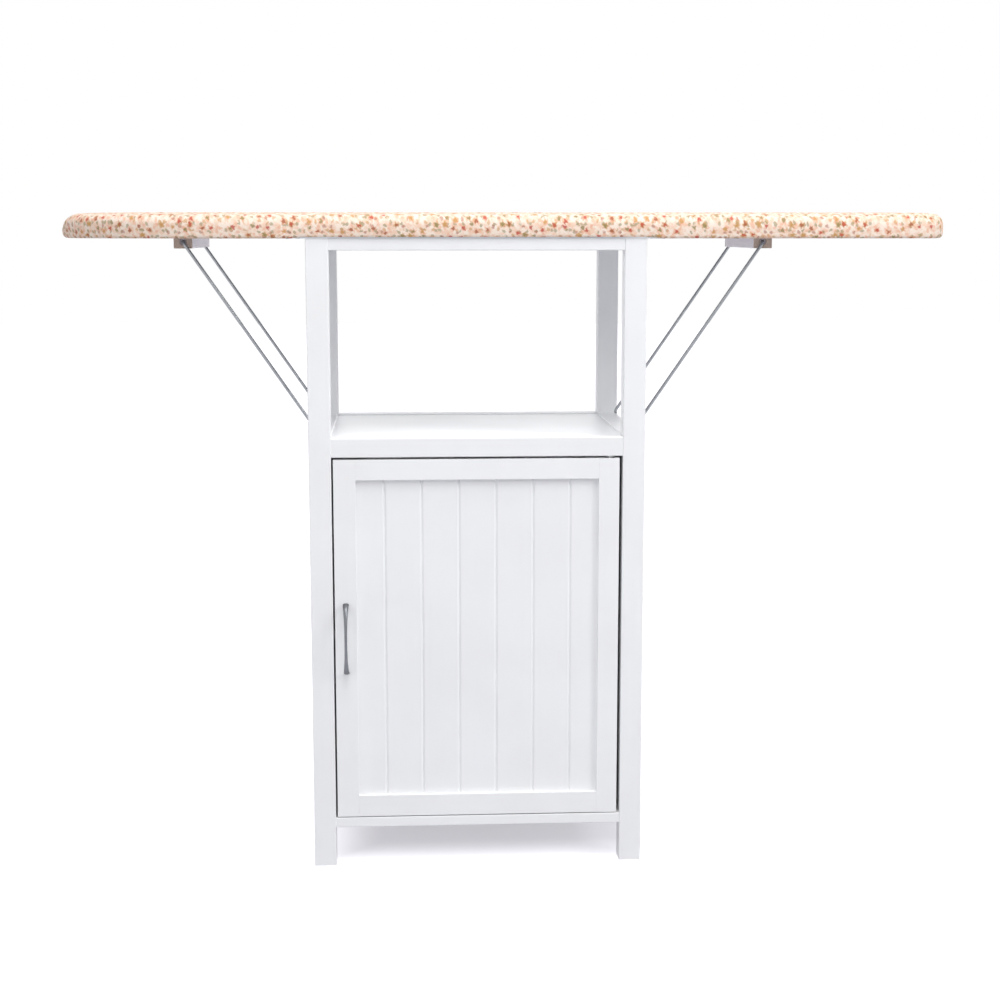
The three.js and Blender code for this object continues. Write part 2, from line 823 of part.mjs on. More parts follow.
cabinet.add(named('magnetic_catch', magneticCatch(), 'catch'));
cabinet.add(named('centre_board', centreCore(), 'core'));
cabinet.add(named('centre_pad', centrePad(), 'cover'));

const door = new THREE.Group();
door.add(named('door_stile_handle_side', handleStile(), 'door'));
door.add(named('door_stile_hinge_side', hingeStile(), 'door'));
const doorTopRail = doorPiece([beadLeft, beadTop], [beadRight, doorTop], 'x');
const doorBottomRail = doorPiece([beadLeft, doorBottom], [beadRight, beadBottom], 'x');
door.add(named('door_rail_top', doorTopRail, 'door'));
door.add(named('door_rail_bottom', doorBottomRail, 'door'));
door.add(named('door_bead_panel', beadPanel(), 'door'));
door.add(named('door_handle', handle(), 'nickel'));
const [lowFoot, highFoot] = handleFeet();
door.add(named('handle_screw_lower', handleScrew(lowFoot), 'zinc'));
door.add(named('handle_screw_upper', handleScrew(highFoot), 'zinc'));
door.add(named('pivot_pin_top', pivotPin(doorTop, 1, doorGapTop), 'zinc'));
door.add(named('pivot_pin_bottom', pivotPin(doorBottom, -1, doorGapBottom), 'zinc'));
door.add(named('strike_plate', strikePlate(), 'zinc'));

const leaves = new THREE.Group();
for (const [sideName, sign] of [['left', -1], ['right', 1]]) {
  cabinet.add(named(`${sideName}_hinge_fixed_leaf`, hingeLeaf(sign, -1, 0), 'zinc'));
  cabinet.add(named(`${sideName}_hinge_pin`, hingePin(sign), 'zinc'));
  leaves.add(named(`${sideName}_leaf_board`, leafCore(sign), 'core'));
  leaves.add(named(`${sideName}_leaf_pad`, leafPad(sign), 'cover'));
  leaves.add(named(`${sideName}_hinge_moving_leaf`, hingeLeaf(sign, 1, 1), 'zinc'));
  leaves.add(named(`${sideName}_leaf_batten`, batten(sign), 'batten'));
  leaves.add(named(`${sideName}_stay_rod`, stayRod(sign), 'wire'));
  leaves.add(named(`${sideName}_stay_front_arm`, stayArm(sign, -1), 'wire'));
  leaves.add(named(`${sideName}_stay_rear_arm`, stayArm(sign, 1), 'wire'));
}

// The origin goes to the centre of the base of the whole piece: the board sets its length,
// and its depth runs from the front of the handle to the back edge of the board.
const ironingBoardCabinet = new THREE.Group();
const originX = (squareReach - noseReach) / 2;
const originY = (boardBack + doorFront - handleStandoff) / 2;
ironingBoardCabinet.position.set(-originX, -originY, 0);
ironingBoardCabinet.add(cabinet, door, leaves);

export default ironingBoardCabinet;
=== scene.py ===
"""Dresses the ironing board cabinet: paint, printed cover, wire stays, handle and fixings.

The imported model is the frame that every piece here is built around. All lengths are in metres.
X runs along the board, Y from the door towards the back, and Z up from the floor.
"""

import json
import math

import bmesh
import bpy
from mathutils import Matrix, Vector, noise


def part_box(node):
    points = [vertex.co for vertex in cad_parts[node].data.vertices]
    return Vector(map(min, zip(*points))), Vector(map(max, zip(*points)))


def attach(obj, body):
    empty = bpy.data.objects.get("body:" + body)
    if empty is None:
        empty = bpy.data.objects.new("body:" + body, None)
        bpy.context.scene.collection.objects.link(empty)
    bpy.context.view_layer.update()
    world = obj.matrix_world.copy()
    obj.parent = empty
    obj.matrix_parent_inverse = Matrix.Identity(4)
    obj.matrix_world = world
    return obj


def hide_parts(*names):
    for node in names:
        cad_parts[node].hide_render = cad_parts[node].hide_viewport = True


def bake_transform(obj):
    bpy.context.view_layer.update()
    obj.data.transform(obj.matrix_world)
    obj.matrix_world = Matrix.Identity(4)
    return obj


bl_info = {
    "name": "Ironing Board Cabinet",
    "version": (1, 0, 0),
    "blender": (4, 5, 0),
    "location": "3D View > Sidebar > Cabinet",
    "description": "Builds the finishes and soft parts of a cabinet with a fold-down ironing board",
    "category": "Add Mesh",
}

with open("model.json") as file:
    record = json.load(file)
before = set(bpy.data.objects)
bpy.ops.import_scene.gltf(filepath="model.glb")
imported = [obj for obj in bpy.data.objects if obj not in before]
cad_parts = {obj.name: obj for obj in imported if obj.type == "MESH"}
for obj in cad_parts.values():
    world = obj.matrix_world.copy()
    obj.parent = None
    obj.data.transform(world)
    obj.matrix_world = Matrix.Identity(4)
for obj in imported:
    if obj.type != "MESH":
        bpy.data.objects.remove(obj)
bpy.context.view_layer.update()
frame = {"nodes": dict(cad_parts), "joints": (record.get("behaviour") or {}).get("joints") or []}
MM = 0.001


# ---- places from the frame

def middle(node):
    """Centre of a CAD node's box."""
    low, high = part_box(node)
    return (low + high) / 2


def joint_point(name):
    """A point on a joint's axis."""
    return Vector(next(joint["pos_m"] for joint in frame["joints"] if joint["name"] == name))


SIDES = {"left": -1, "right": 1}
BOARD_LOW, BOARD_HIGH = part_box("centre_pad")
CABINET_CENTRE_X = middle("centre_pad").x
BOARD_CENTRE_Y = middle("centre_pad").y
HINGE_LINE = {side: joint_point(f"{side}_leaf_fold") for side in SIDES}


# ---- settings

def from_screen(red, green, blue):
    """A colour as seen on a screen, 0 to 255, as the linear values that Blender mixes."""
    return tuple(
        value / 12.92 if value <= 0.04045 else ((value + 0.055) / 1.055) ** 2.4
        for value in (red / 255, green / 255, blue / 255)
    )


def length_setting(name, description, millimetres):
    default = millimetres * MM
    return bpy.props.FloatProperty(
        name=name, description=description, default=default, min=0, unit="LENGTH", precision=4
    )


def colour_setting(name, description, *screen_colour):
    default = from_screen(*screen_colour)
    return bpy.props.FloatVectorProperty(
        name=name, description=description, default=default, min=0, max=1, subtype="COLOR"
    )


class CabinetCoverSettings(bpy.types.PropertyGroup):
    """The padded cover of the ironing board"""

    nose_straight: length_setting("Nose Straight", "Parallel length before the nose tapers", 47)
    nose_shoulder: length_setting("Nose Shoulder", "Reach of the nose curve's shoulder", 187)
    nose_tip_half: length_setting("Nose Tip", "Half width of the nose curve at its tip", 102)
    corner_radius: length_setting("Corner Radius", "Radius of the square end's corners", 40)
    top_edge_radius: length_setting("Top Edge Radius", "Softness of the padded top edge", 11)
    lower_edge_radius: length_setting("Lower Edge Radius", "Softness of the lower edge", 5)
    end_edge_radius: length_setting("End Edge Radius", "Softness of the ends' lower edges", 7)
    nose_height: length_setting("Nose Height", "Height over which the nose rounds off", 20)
    nose_slope: length_setting("Nose Slope", "Length over which the nose's padding thins out", 23)
    side_bulge: length_setting("Side Bulge", "How far the padding fills out the sides", 1.2)
    hem_width: length_setting("Hem Width", "Cover turned under the edge of the ends", 17)
    hem_thickness: length_setting("Hem Thickness", "Thickness of the turned hem", 1.2)
    pucker_depth: length_setting("Pucker Depth", "Depth of the gathers at the hem", 0.8)
    fold_reach: length_setting("Fold Reach", "Cover that bends on each side of a hinge line", 26)
    ground: colour_setting("Ground", "Cotton between the flowers", 254, 237, 222)
    ground_shade: colour_setting("Ground Shade", "Warmer patches of cotton", 246, 213, 189)
    coral: colour_setting("Coral", "Flower hearts in coral red", 196, 72, 56)
    rust: colour_setting("Rust", "Flower hearts in rust brown", 172, 92, 58)
    apricot: colour_setting("Apricot", "Petals in apricot", 238, 178, 142)
    ochre: colour_setting("Ochre", "Petals and hearts in ochre", 206, 154, 88)
    olive: colour_setting("Olive", "Leaves in olive green", 148, 134, 82)


class CabinetPaintSettings(bpy.types.PropertyGroup):
    """Paint and bare timber"""

    white: colour_setting("White", "Satin white paint", 245, 246, 247)
    white_worn: colour_setting("Worn White", "Paint rubbed thin along edges", 228, 226, 222)
    board_white: colour_setting("Board White", "Matt white hardboard", 236, 237, 239)
    batten_side: colour_setting("Batten Side", "Thin paint on the battens", 242, 233, 239)
    batten_end: colour_setting("Batten End", "Bare end grain of the battens", 198, 176, 160)
    # Painted shade: a dark brown laid into the bored mouths, where the wire fills the hole, stands
    # for the shade inside it.
    batten_bore: colour_setting("Batten Bore", "Wood inside the bored mouths", 78, 50, 40)
    board_face: colour_setting("Board Face", "White facing under the board", 236, 237, 240)


class CabinetHardwareSettings(bpy.types.PropertyGroup):
    """Wire, hinges, handle and screws"""

    wire_radius: length_setting("Wire Radius", "Radius of the stays' wire", 2.2)
    bend_radius: length_setting("Bend Radius", "Radius of the stays' upper bends", 6)
    handle_waist: length_setting("Handle Waist", "Radius of the handle at its middle", 1.9)
    handle_flare: bpy.props.FloatProperty(
        name="Handle Flare", description="Width of a foot as a share of the waist", default=2.2
    )
    screw_head_radius: length_setting("Screw Head", "Radius of the countersunk screws", 3)
    wire: colour_setting("Wire", "Drawn steel wire", 150, 153, 156)
    zinc: colour_setting("Zinc", "Zinc plate", 196, 198, 200)
    nickel: colour_setting("Nickel", "Satin nickel plate", 116, 118, 122)
    nylon: colour_setting("Nylon", "Moulded nylon", 232, 232, 228)
    magnet: colour_setting("Magnet", "Face of the catch", 70, 70, 72)


class CabinetDoorSettings(bpy.types.PropertyGroup):
    """The tongued boards of the door"""

    board_count: bpy.props.IntProperty(
        name="Boards", description="Tongued boards in the panel", default=7, min=1
    )
    board_pitch: length_setting("Board Pitch", "Width of one tongued board", 50.7)
    groove_width: length_setting("Groove Width", "Width of the groove between boards", 5.4)
    groove_depth: length_setting("Groove Depth", "Depth of the groove between boards", 1.8)
    joint_gap: length_setting("Joint Gap", "Shadow gap at the bottom of a groove", 0.15)
    tongue_thickness: length_setting("Tongue", "Thickness of a tongue", 2.6)


def settings():
    return bpy.context.scene.ironing_cabinet


class CabinetSettings(bpy.types.PropertyGroup):
    """Everything that a user may change"""

    cover: bpy.props.PointerProperty(type=CabinetCoverSettings)
    paint: bpy.props.PointerProperty(type=CabinetPaintSettings)
    hardware: bpy.props.PointerProperty(type=CabinetHardwareSettings)
    door: bpy.props.PointerProperty(type=CabinetDoorSettings)


# ---- shader maths

class Wire:
    """An output of a shader tree that can be reckoned with like a number."""

    def __init__(self, shader, socket):
        self.shader = shader
        self.socket = socket

    def maths(self, operation, *others, clamp=False):
        return self.shader.node(
            "ShaderNodeMath", {"operation": operation, "use_clamp": clamp}, [self, *others]
        )

    def __add__(self, other):
        return self.maths("ADD", other)

    __radd__ = __add__

    def __sub__(self, other):
        return self.maths("SUBTRACT", other)

    def __mul__(self, other):
        return self.maths("MULTIPLY", other)

    def __truediv__(self, other):
        return self.maths("DIVIDE", other)

    def __pow__(self, other):
        return self.maths("POWER", other)

    def __abs__(self):
        return self.maths("ABSOLUTE")


class Finish:
    """A node material under construction."""

    def __init__(self, name, **constants):
        self.material = bpy.data.materials.new(name)
        self.material.use_nodes = True
        self.tree = self.material.node_tree
        self.tree.nodes.clear()
        self.output = self.tree.nodes.new("ShaderNodeOutputMaterial")
        self.surface = self.tree.nodes.new("ShaderNodeBsdfPrincipled")
        self.tree.links.new(self.surface.outputs[0], self.output.inputs["Surface"])
        for socket, value in constants.items():
            self.surface.inputs[socket.replace("_", " ")].default_value = value

    def node(self, kind, options=None, inputs=(), output=0):
        """Adds a node, with its options first and then the values or links of its sockets."""
        made = self.tree.nodes.new(kind)
        for option, value in (options or {}).items():
            if option == "stops":
                self.set_stops(made.color_ramp, value)
            else:
                setattr(made, option, value)
        pairs = inputs.items() if isinstance(inputs, dict) else enumerate(inputs)
        for key, value in pairs:
            self.join(made.inputs[key], value)
        return Wire(self, made.outputs[output])

    def join(self, socket, value):
        if isinstance(value, Wire):
            self.tree.links.new(value.socket, socket)
        elif socket.type == "RGBA":
            socket.default_value = (*value, 1)
        else:
            socket.default_value = value

    @staticmethod
    def set_stops(ramp, stops):
        while len(ramp.elements) > 1:
            ramp.elements.remove(ramp.elements[-1])
        for index, (place, colour) in enumerate(stops):
            element = ramp.elements[0] if index == 0 else ramp.elements.new(place)
            element.position = place
            element.color = (*colour, 1)

    def place(self):
        """The place of a point on the piece at rest."""
        return self.node("ShaderNodeTexCoord", output="Object")

    def axes(self, vector):
        return [self.node("ShaderNodeSeparateXYZ", None, [vector], axis) for axis in range(3)]

    def vector(self, x, y, z):
        return self.node("ShaderNodeCombineXYZ", None, [x, y, z])

    def vector_maths(self, operation, *inputs, output=0):
        return self.node("ShaderNodeVectorMath", {"operation": operation}, inputs, output)

    def stretched(self, vector, scale):
        """A place scaled apart along each axis, for marks that run one way."""
        inputs = {"Vector": vector, "Scale": Vector(scale)}
        return self.node("ShaderNodeMapping", {"vector_type": "POINT"}, inputs)

    def noise(self, vector, scale, detail=2.0, roughness=0.5):
        return self.node(
            "ShaderNodeTexNoise",
            None,
            {"Vector": vector, "Scale": scale, "Detail": detail, "Roughness": roughness},
        )

    def ramp(self, value, *stops):
        return self.node("ShaderNodeValToRGB", {"stops": stops}, [value])

    def ease(self, value, low, high, start=0.0, end=1.0):
        """A value that runs smoothly from start to end as another runs from low to high."""
        return self.node(
            "ShaderNodeMapRange",
            {"interpolation_type": "SMOOTHSTEP"},
            {"Value": value, "From Min": low, "From Max": high, "To Min": start, "To Max": end},
        )

    def blend(self, share, first, second):
        """A colour between two, by a share from 0 to 1."""
        return self.node(
            "ShaderNodeMix",
            {"data_type": "RGBA"},
            {0: share, 6: first, 7: second},
            output=2,
        )

    def bump(self, height, depth, normal=None, strength=1.0):
        sockets = {"Strength": strength, "Distance": depth, "Height": height}
        if normal is not None:
            sockets["Normal"] = normal
        return self.node("ShaderNodeBump", None, sockets)

    def wear(self, **sockets):
        """Links what changes over the surface to the shader's own sockets."""
        for socket, value in sockets.items():
            self.join(self.surface.inputs[socket.replace("_", " ")], value)
        return self.material


# ---- finishes

BRUSH_MARK = 1.6 * MM
BRUSH_STRETCH = 26
PAINT_PEEL = 2.4 * MM
PAINT_DEPTH = 0.05 * MM
TONE_PATCH = 140 * MM
MOUTH_RADIUS = 4.7 * MM
MOUTH_EDGE = 0.3 * MM
SAWN_START = 3.6 * MM
SAWN_FULL = 0.2 * MM
HEART_OF_TREE = Vector((22 * MM, 0, 9 * MM))
CATCH_MIDDLE = 6 * MM
POLE_PLACE = 3.2 * MM
POLE_HALF = 1 * MM
MAGNET_HALF = 2 * MM

FLOWER_CELL = 15 * MM
PETAL_RADIUS = 5.4 * MM
HEART_RADIUS = 2.7 * MM
BUD_CELL = 8.6 * MM
BUD_RADIUS = 2.25 * MM
SPRIG_CELL = 9.5 * MM
SPRIG_LENGTH = 3.0 * MM
SPRIG_WIDTH = 1.95 * MM
PRINT_EDGE = 1.0 * MM
DRIFT = 6 * MM
THREAD = 0.45 * MM
CLOTH_MAP = "cloth"


def brushed_paint(name, grain, white, worn, roughness=0.4):
    """Satin paint laid on by brush along the grain, a little uneven in tone and gloss."""
    finish = Finish(name, Coat_Weight=0.12, Coat_Roughness=0.35)
    place = finish.place()
    stretch = [1 / BRUSH_MARK] * 3
    stretch[grain] /= BRUSH_STRETCH
    strokes = finish.noise(finish.stretched(place, stretch), 1.0, 3.0, 0.55)
    peel = finish.noise(place, 1 / PAINT_PEEL, 2.0, 0.5)
    patches = finish.noise(place, 1 / TONE_PATCH, 3.0, 0.6)
    worn_patches = finish.ease(patches, 0.35, 0.72, 0.0, 0.16)
    worn_strokes = finish.ease(strokes, 0.5, 0.85, 0.0, 0.06)
    first = finish.bump(peel, PAINT_DEPTH, strength=0.35)
    return finish.wear(
        Base_Color=finish.blend(worn_patches + worn_strokes, white, worn),
        Roughness=finish.ease(strokes, 0.3, 0.7, roughness - 0.05, roughness + 0.08),
        Normal=finish.bump(strokes, PAINT_DEPTH, first, 0.45),
    )


def grained_finish(
    name, tones, mix, grain, gloss, depth, strength=0.5, patch=TONE_PATCH, **constants
):
    """Two close tones in soft patches, under a fine grain that changes gloss and relief."""
    finish = Finish(name, **constants)
    place = finish.place()
    fine = finish.noise(place, *grain)
    cloud = finish.noise(place, 1 / patch, 2.0, 0.5)
    return finish.wear(
        Base_Color=finish.blend(finish.ease(cloud, *mix), *tones),
        Roughness=finish.ease(fine, 0.3, 0.7, *gloss),
        Normal=finish.bump(fine, depth, strength=strength),
    )


def hardboard_finish(paint):
    """Thin matt paint over pressed fibre, with a fine even tooth."""
    tones = paint.board_white, paint.white_worn
    fibre = 1 / (0.9 * MM), 4.0, 0.65
    mix = 0.3, 0.75, 0.0, 0.12
    return grained_finish("Painted Hardboard", tones, mix, fibre, (0.55, 0.72), 0.08 * MM)


def faced_board_finish(paint):
    """White facing on pressed board, with the faint relief of the chips under it."""
    tones = paint.board_face, paint.white_worn
    chips = 1 / (4 * MM), 3.0, 0.6
    mix = 0.3, 0.75, 0.0, 0.15
    return grained_finish("Faced Board", tones, mix, chips, (0.42, 0.6), 0.06 * MM)


def batten_finish(name, node, pivot, paint):
    """Thin paint on the long faces, brownish end grain on the sawn ends, and painted shade in the
    bored mouth.
    """
    finish = Finish(name)
    place = finish.place()
    x, y, z = finish.axes(place)
    low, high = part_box(node)
    half = (high.y - low.y) / 2
    from_middle = abs(y - middle(node).y)
    sawn = finish.ease(from_middle, half - SAWN_START, half - SAWN_FULL)
    streaks = finish.noise(finish.vector(x * 900, y * 22, z * 900), 1.0, 3.0, 0.6)
    heart = low - HEART_OF_TREE
    rings = finish.node(
        "ShaderNodeTexWave",
        {"wave_type": "RINGS", "rings_direction": "Y"},
        {
            "Vector": finish.vector(x - heart.x, 0.0, z - heart.z),
            "Scale": 95.0,
            "Distortion": 1.6,
            "Detail": 2.0,
            "Detail Scale": 2.0,
        },
    )
    rubbed = finish.ease(streaks, 0.42, 0.8, 0.0, 0.4)
    long_face = finish.blend(rubbed, paint.batten_side, paint.white_worn)
    pale_ring = from_screen(214, 194, 178)
    end_face = finish.blend(rings * 0.35 + streaks * 0.3, paint.batten_end, pale_ring)
    # Painted shade: a dark disc round the rod's axis on each sawn end stands for the shade inside
    # the bored mouth.
    from_bore = ((x - pivot.x) ** 2 + (z - pivot.z) ** 2) ** 0.5
    bored = finish.ease(from_bore, MOUTH_RADIUS - MOUTH_EDGE, MOUTH_RADIUS, 1.0, 0.0) * sawn
    end_face = finish.blend(bored, end_face, paint.batten_bore)
    return finish.wear(
        Base_Color=finish.blend(sawn, long_face, end_face),
        Roughness=finish.ease(sawn, 0.0, 1.0, 0.5, 0.85),
        Normal=finish.bump(streaks + rings * sawn * 0.6, 0.1 * MM, strength=0.5),
    )


def metal_finish(name, colour, roughness, stretch, mottle=0.12):
    """Plated steel: fine drawn or rolled lines, and plate that varies softly in tone."""
    finish = Finish(name, Metallic=1.0)
    place = finish.place()
    drawn = finish.noise(finish.stretched(place, stretch), 1.0, 3.0, 0.6)
    plate = finish.noise(place, 1 / (9 * MM), 3.0, 0.6)
    dull = tuple(value * 0.78 for value in colour)
    return finish.wear(
        Base_Color=finish.blend(finish.ease(plate, 0.3, 0.75, 0.0, mottle * 4), colour, dull),
        Roughness=finish.ease(drawn + plate * 0.4, 0.35, 0.95, roughness - 0.06, roughness + 0.14),
        Normal=finish.bump(drawn, 0.02 * MM, strength=0.4),
    )


def nylon_finish(hardware):
    """Moulded nylon with a faint satin texture."""
    shade = tuple(value * 0.9 for value in hardware.nylon)
    return grained_finish(
        "Moulded Nylon", (hardware.nylon, shade), (0.3, 0.7), (1 / (0.7 * MM), 2.0, 0.5),
        (0.42, 0.58), 0.03 * MM, 0.4, 20 * MM, Subsurface_Weight=0.08, Subsurface_Scale=0.004,
    )


def catch_finish(hardware):
    """The catch's nylon housing, with bare steel pole plates on the face that meets the door."""
    finish = Finish("Catch Housing")
    place = finish.place()
    _, y, z = finish.axes(place)
    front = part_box("magnetic_catch")[0].y
    mouth = finish.ease(y, front + 0.1 * MM, front + 0.6 * MM, 1.0, 0.0)
    from_middle = abs(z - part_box("strike_plate")[0].z - CATCH_MIDDLE)
    from_pole = abs(from_middle - POLE_PLACE)
    poles = finish.ease(from_pole, POLE_HALF - 0.1 * MM, POLE_HALF + 0.1 * MM, 1.0, 0.0) * mouth
    magnet = finish.ease(from_middle, MAGNET_HALF, MAGNET_HALF + 0.2 * MM, 1.0, 0.0) * mouth
    grain = finish.noise(place, 1 / (0.8 * MM), 2.0, 0.5)
    shell = finish.blend(magnet, hardware.nylon, hardware.magnet)
    return finish.wear(
        Base_Color=finish.blend(poles, shell, hardware.zinc),
        Metallic=poles,
        Roughness=finish.ease(grain, 0.3, 0.7, 0.4, 0.6),
        Normal=finish.bump(grain, 0.03 * MM, strength=0.4),
    )


class PrintedCotton:
    """Cream cotton with a scattered print of flowers, buds and sprigs, on the cloth's own map."""

    def __init__(self, cover):
        self.cover = cover
        self.finish = Finish("Printed Cotton", Sheen_Weight=0.12, Sheen_Roughness=0.5)
        flat = self.finish.node("ShaderNodeUVMap", {"uv_map": CLOTH_MAP})
        drift = self.finish.noise(flat, 1 / (4 * MM), 2.0, 0.6)
        self.cloth = self.finish.vector_maths(
            "ADD", flat, self.finish.vector(drift * DRIFT, drift * -DRIFT, 0.0)
        )

    def scatter(self, cell, offset):
        """One motif in each cell: its own x, y, distance from its centre, and two chance values."""
        finish = self.finish
        moved = finish.vector_maths("ADD", self.cloth, offset)
        inputs = {"Vector": moved, "Scale": 1 / cell, "Randomness": 0.85}
        options = {"voronoi_dimensions": "2D"}
        cells = finish.node("ShaderNodeTexVoronoi", options, inputs, "Color")
        node = cells.socket.node
        centre = Wire(finish, node.outputs["Position"])
        local = finish.vector_maths("SUBTRACT", moved, centre)
        reach = finish.vector_maths("LENGTH", local, output="Value")
        x, y, _ = finish.axes(local)
        first_chance, second_chance, _ = finish.axes(cells)
        return x, y, reach, first_chance, second_chance

    def petals(self, x, y, reach, chance, radius, count, depth):
        """A round flower whose edge waves in and out between its petals."""
        turn = self.finish.node("ShaderNodeMath", {"operation": "ARCTAN2"}, [y, x])
        wave = (turn * count + chance * math.tau).maths("COSINE")
        edge = radius * (1 - depth) + wave * (radius * depth)
        return self.finish.ease(reach - edge, -PRINT_EDGE, PRINT_EDGE, 1.0, 0.0)

    def sprig(self, x, y, chance):
        """A slim leaf at its own angle."""
        turn = chance * math.tau
        along = x * turn.maths("COSINE") + y * turn.maths("SINE")
        across = y * turn.maths("COSINE") - x * turn.maths("SINE")
        shape = (along / SPRIG_LENGTH) ** 2 + (across / SPRIG_WIDTH) ** 2
        return self.finish.ease(shape, 0.3, 1.4, 1.0, 0.0)

    def colour(self):
        finish, cover = self.finish, self.cover
        cloud = finish.noise(self.cloth, 1 / (8 * MM), 3.0, 0.6)
        ground = finish.blend(finish.ease(cloud, 0.40, 0.60), cover.ground, cover.ground_shade)

        x, y, reach, first, second = self.scatter(SPRIG_CELL, (0.31, 0.17, 0.0))
        leaf_tone = self.stepped(second, cover.olive, (0.45, cover.ochre), (0.7, cover.apricot))
        printed = finish.blend(self.sprig(x, y, first) * 0.62, ground, leaf_tone)

        x, y, reach, first, second = self.scatter(BUD_CELL, (0.57, 0.43, 0.0))
        bud_tone = self.stepped(
            second, cover.rust, (0.2, cover.apricot), (0.42, cover.olive), (0.58, cover.ground)
        )
        buds = finish.ease(reach, BUD_RADIUS - PRINT_EDGE, BUD_RADIUS + PRINT_EDGE, 1.0, 0.0)
        printed = finish.blend(buds * 0.6, printed, bud_tone)

        x, y, reach, first, second = self.scatter(FLOWER_CELL, (0.11, 0.73, 0.0))
        petal_tone = self.stepped(
            second, cover.apricot, (0.6, cover.ground_shade), (0.8, cover.ochre)
        )
        petals = self.petals(x, y, reach, first, PETAL_RADIUS, 5, 0.26)
        washed = finish.ease(reach, HEART_RADIUS, PETAL_RADIUS, 0.7, 0.35)
        printed = finish.blend(petals * washed, printed, petal_tone)
        heart_tone = self.stepped(
            first, cover.coral, (0.3, cover.rust), (0.5, cover.ochre), (0.76, cover.olive)
        )
        hearts = self.petals(x, y, reach, second, HEART_RADIUS, 3, 0.14)
        return finish.blend(hearts * 0.85, printed, heart_tone)

    def stepped(self, chance, first, *others):
        """One of several ink colours, chosen by chance."""
        stops = [(0.0, tuple(first))] + [(place, tuple(colour)) for place, colour in others]
        tone = self.finish.ramp(chance, *stops)
        tone.socket.node.color_ramp.interpolation = "CONSTANT"
        return tone

    def weave(self):
        """Plain weave: warp and weft threads that pass over each other."""
        finish = self.finish
        u, v, _ = finish.axes(self.cloth)
        warp = (u * (math.pi / THREAD)).maths("SINE")
        weft = (v * (math.pi / THREAD)).maths("SINE")
        slub = finish.noise(self.cloth, 1 / (5 * MM), 3.0, 0.6)
        return warp * weft + slub * 0.8

    def material(self):
        weave = self.weave()
        slack = self.finish.noise(self.cloth, 1 / (28 * MM), 2.0, 0.5)
        creased = self.finish.bump(slack, 1.2 * MM, strength=0.35)
        return self.finish.wear(
            Base_Color=self.colour(),
            Roughness=self.finish.ease(weave, -1.0, 1.6, 0.78, 0.92),
            Normal=self.finish.bump(weave, 0.06 * MM, creased, 0.5),
        )


# ---- modelling by hand

def deselect():
    bpy.ops.object.select_all(action="DESELECT")


def take(piece):
    """Selects one piece alone and makes it the active one."""
    deselect()
    piece.select_set(True)
    bpy.context.view_layer.objects.active = piece
    return piece


def started(name):
    """Names the primitive that was just added, with its place moved into its mesh."""
    piece = bpy.context.object
    piece.name = name
    piece.data.name = name
    take(piece)
    bpy.ops.object.transform_apply(location=True, rotation=True, scale=True)
    return piece


def block(name, low, high):
    """A block between two corners, to be shaped further."""
    low, high = Vector(low), Vector(high)
    deselect()
    bpy.ops.mesh.primitive_cube_add(size=1, location=(low + high) / 2, scale=high - low)
    return started(name)


class Editing:
    """Edit mode on one piece."""

    def __init__(self, piece):
        self.piece = piece

    def __enter__(self):
        take(self.piece)
        bpy.ops.object.mode_set(mode="EDIT")
        return self

    def __exit__(self, *_):
        bpy.ops.object.mode_set(mode="OBJECT")

    def pick(self, kind, test):
        """Selects only the vertices, edges or faces that pass a test."""
        modes = {"verts": "VERT", "edges": "EDGE", "faces": "FACE"}
        bpy.ops.mesh.select_mode(type=modes[kind])
        bpy.ops.mesh.select_all(action="DESELECT")
        mesh = bmesh.from_edit_mesh(self.piece.data)
        for item in getattr(mesh, kind):
            if test(item):
                item.select_set(True)
        mesh.select_flush_mode()
        bmesh.update_edit_mesh(self.piece.data)

    def shift(self, change):
        """Moves each selected vertex to where a function of its place says."""
        mesh = bmesh.from_edit_mesh(self.piece.data)
        for vertex in mesh.verts:
            if vertex.select:
                vertex.co = change(vertex.co)
        bmesh.update_edit_mesh(self.piece.data)


def runs_along(edge, axis):
    start, end = (vertex.co for vertex in edge.verts)
    return abs((end - start).normalized()[axis]) > 0.99


def modified(piece, kind, **options):
    """Adds a modifier and applies it."""
    take(piece)
    bpy.ops.object.modifier_add(type=kind)
    modifier = piece.modifiers[-1]
    for option, value in options.items():
        setattr(modifier, option, value)
    bpy.ops.object.modifier_apply(modifier=modifier.name)
    return piece


def cut_away(piece, tool):
    """Cuts a tool's shape out of a piece and throws the tool away."""
    modified(piece, "BOOLEAN", operation="DIFFERENCE", solver="EXACT", object=tool)
    bpy.data.objects.remove(tool)
    return piece


def eased(piece, test, offset, **shape):
    """Bevels the edges that pass a test."""
    with Editing(piece) as edit:
        edit.pick("edges", test)
        bpy.ops.mesh.bevel(offset=offset, affect="EDGES", **{"segments": 2, **shape})
    return piece


def joined(name, pieces):
    """Several pieces as one."""
    take(pieces[0])
    for piece in pieces:
        piece.select_set(True)
    bpy.ops.object.join()
    pieces[0].name = name
    pieces[0].data.name = name
    return pieces[0]


def copied(piece, name, offset):
    """A copy of a piece with a mesh of its own, moved by an offset."""
    copy = piece.copy()
    copy.data = piece.data.copy()
    copy.name = name
    copy.data.name = name
    bpy.context.collection.objects.link(copy)
    copy.location = Vector(offset)
    take(copy)
    bpy.ops.object.transform_apply(location=True, rotation=True, scale=True)
    return copy


def faced_out(piece):
    """Welds a piece's doubles and turns its faces outwards."""
    with Editing(piece):
        bpy.ops.mesh.select_all(action="SELECT")
        bpy.ops.mesh.remove_doubles(threshold=1e-6)
        bpy.ops.mesh.normals_make_consistent(inside=False)
    return piece


def dressed(piece, material, smooth_degrees=35):
    """Smooths a piece and gives it its finish."""
    take(piece)
    bpy.ops.object.shade_smooth_by_angle(angle=math.radians(smooth_degrees))
    piece.data.materials.clear()
    piece.data.materials.append(material)
    return piece


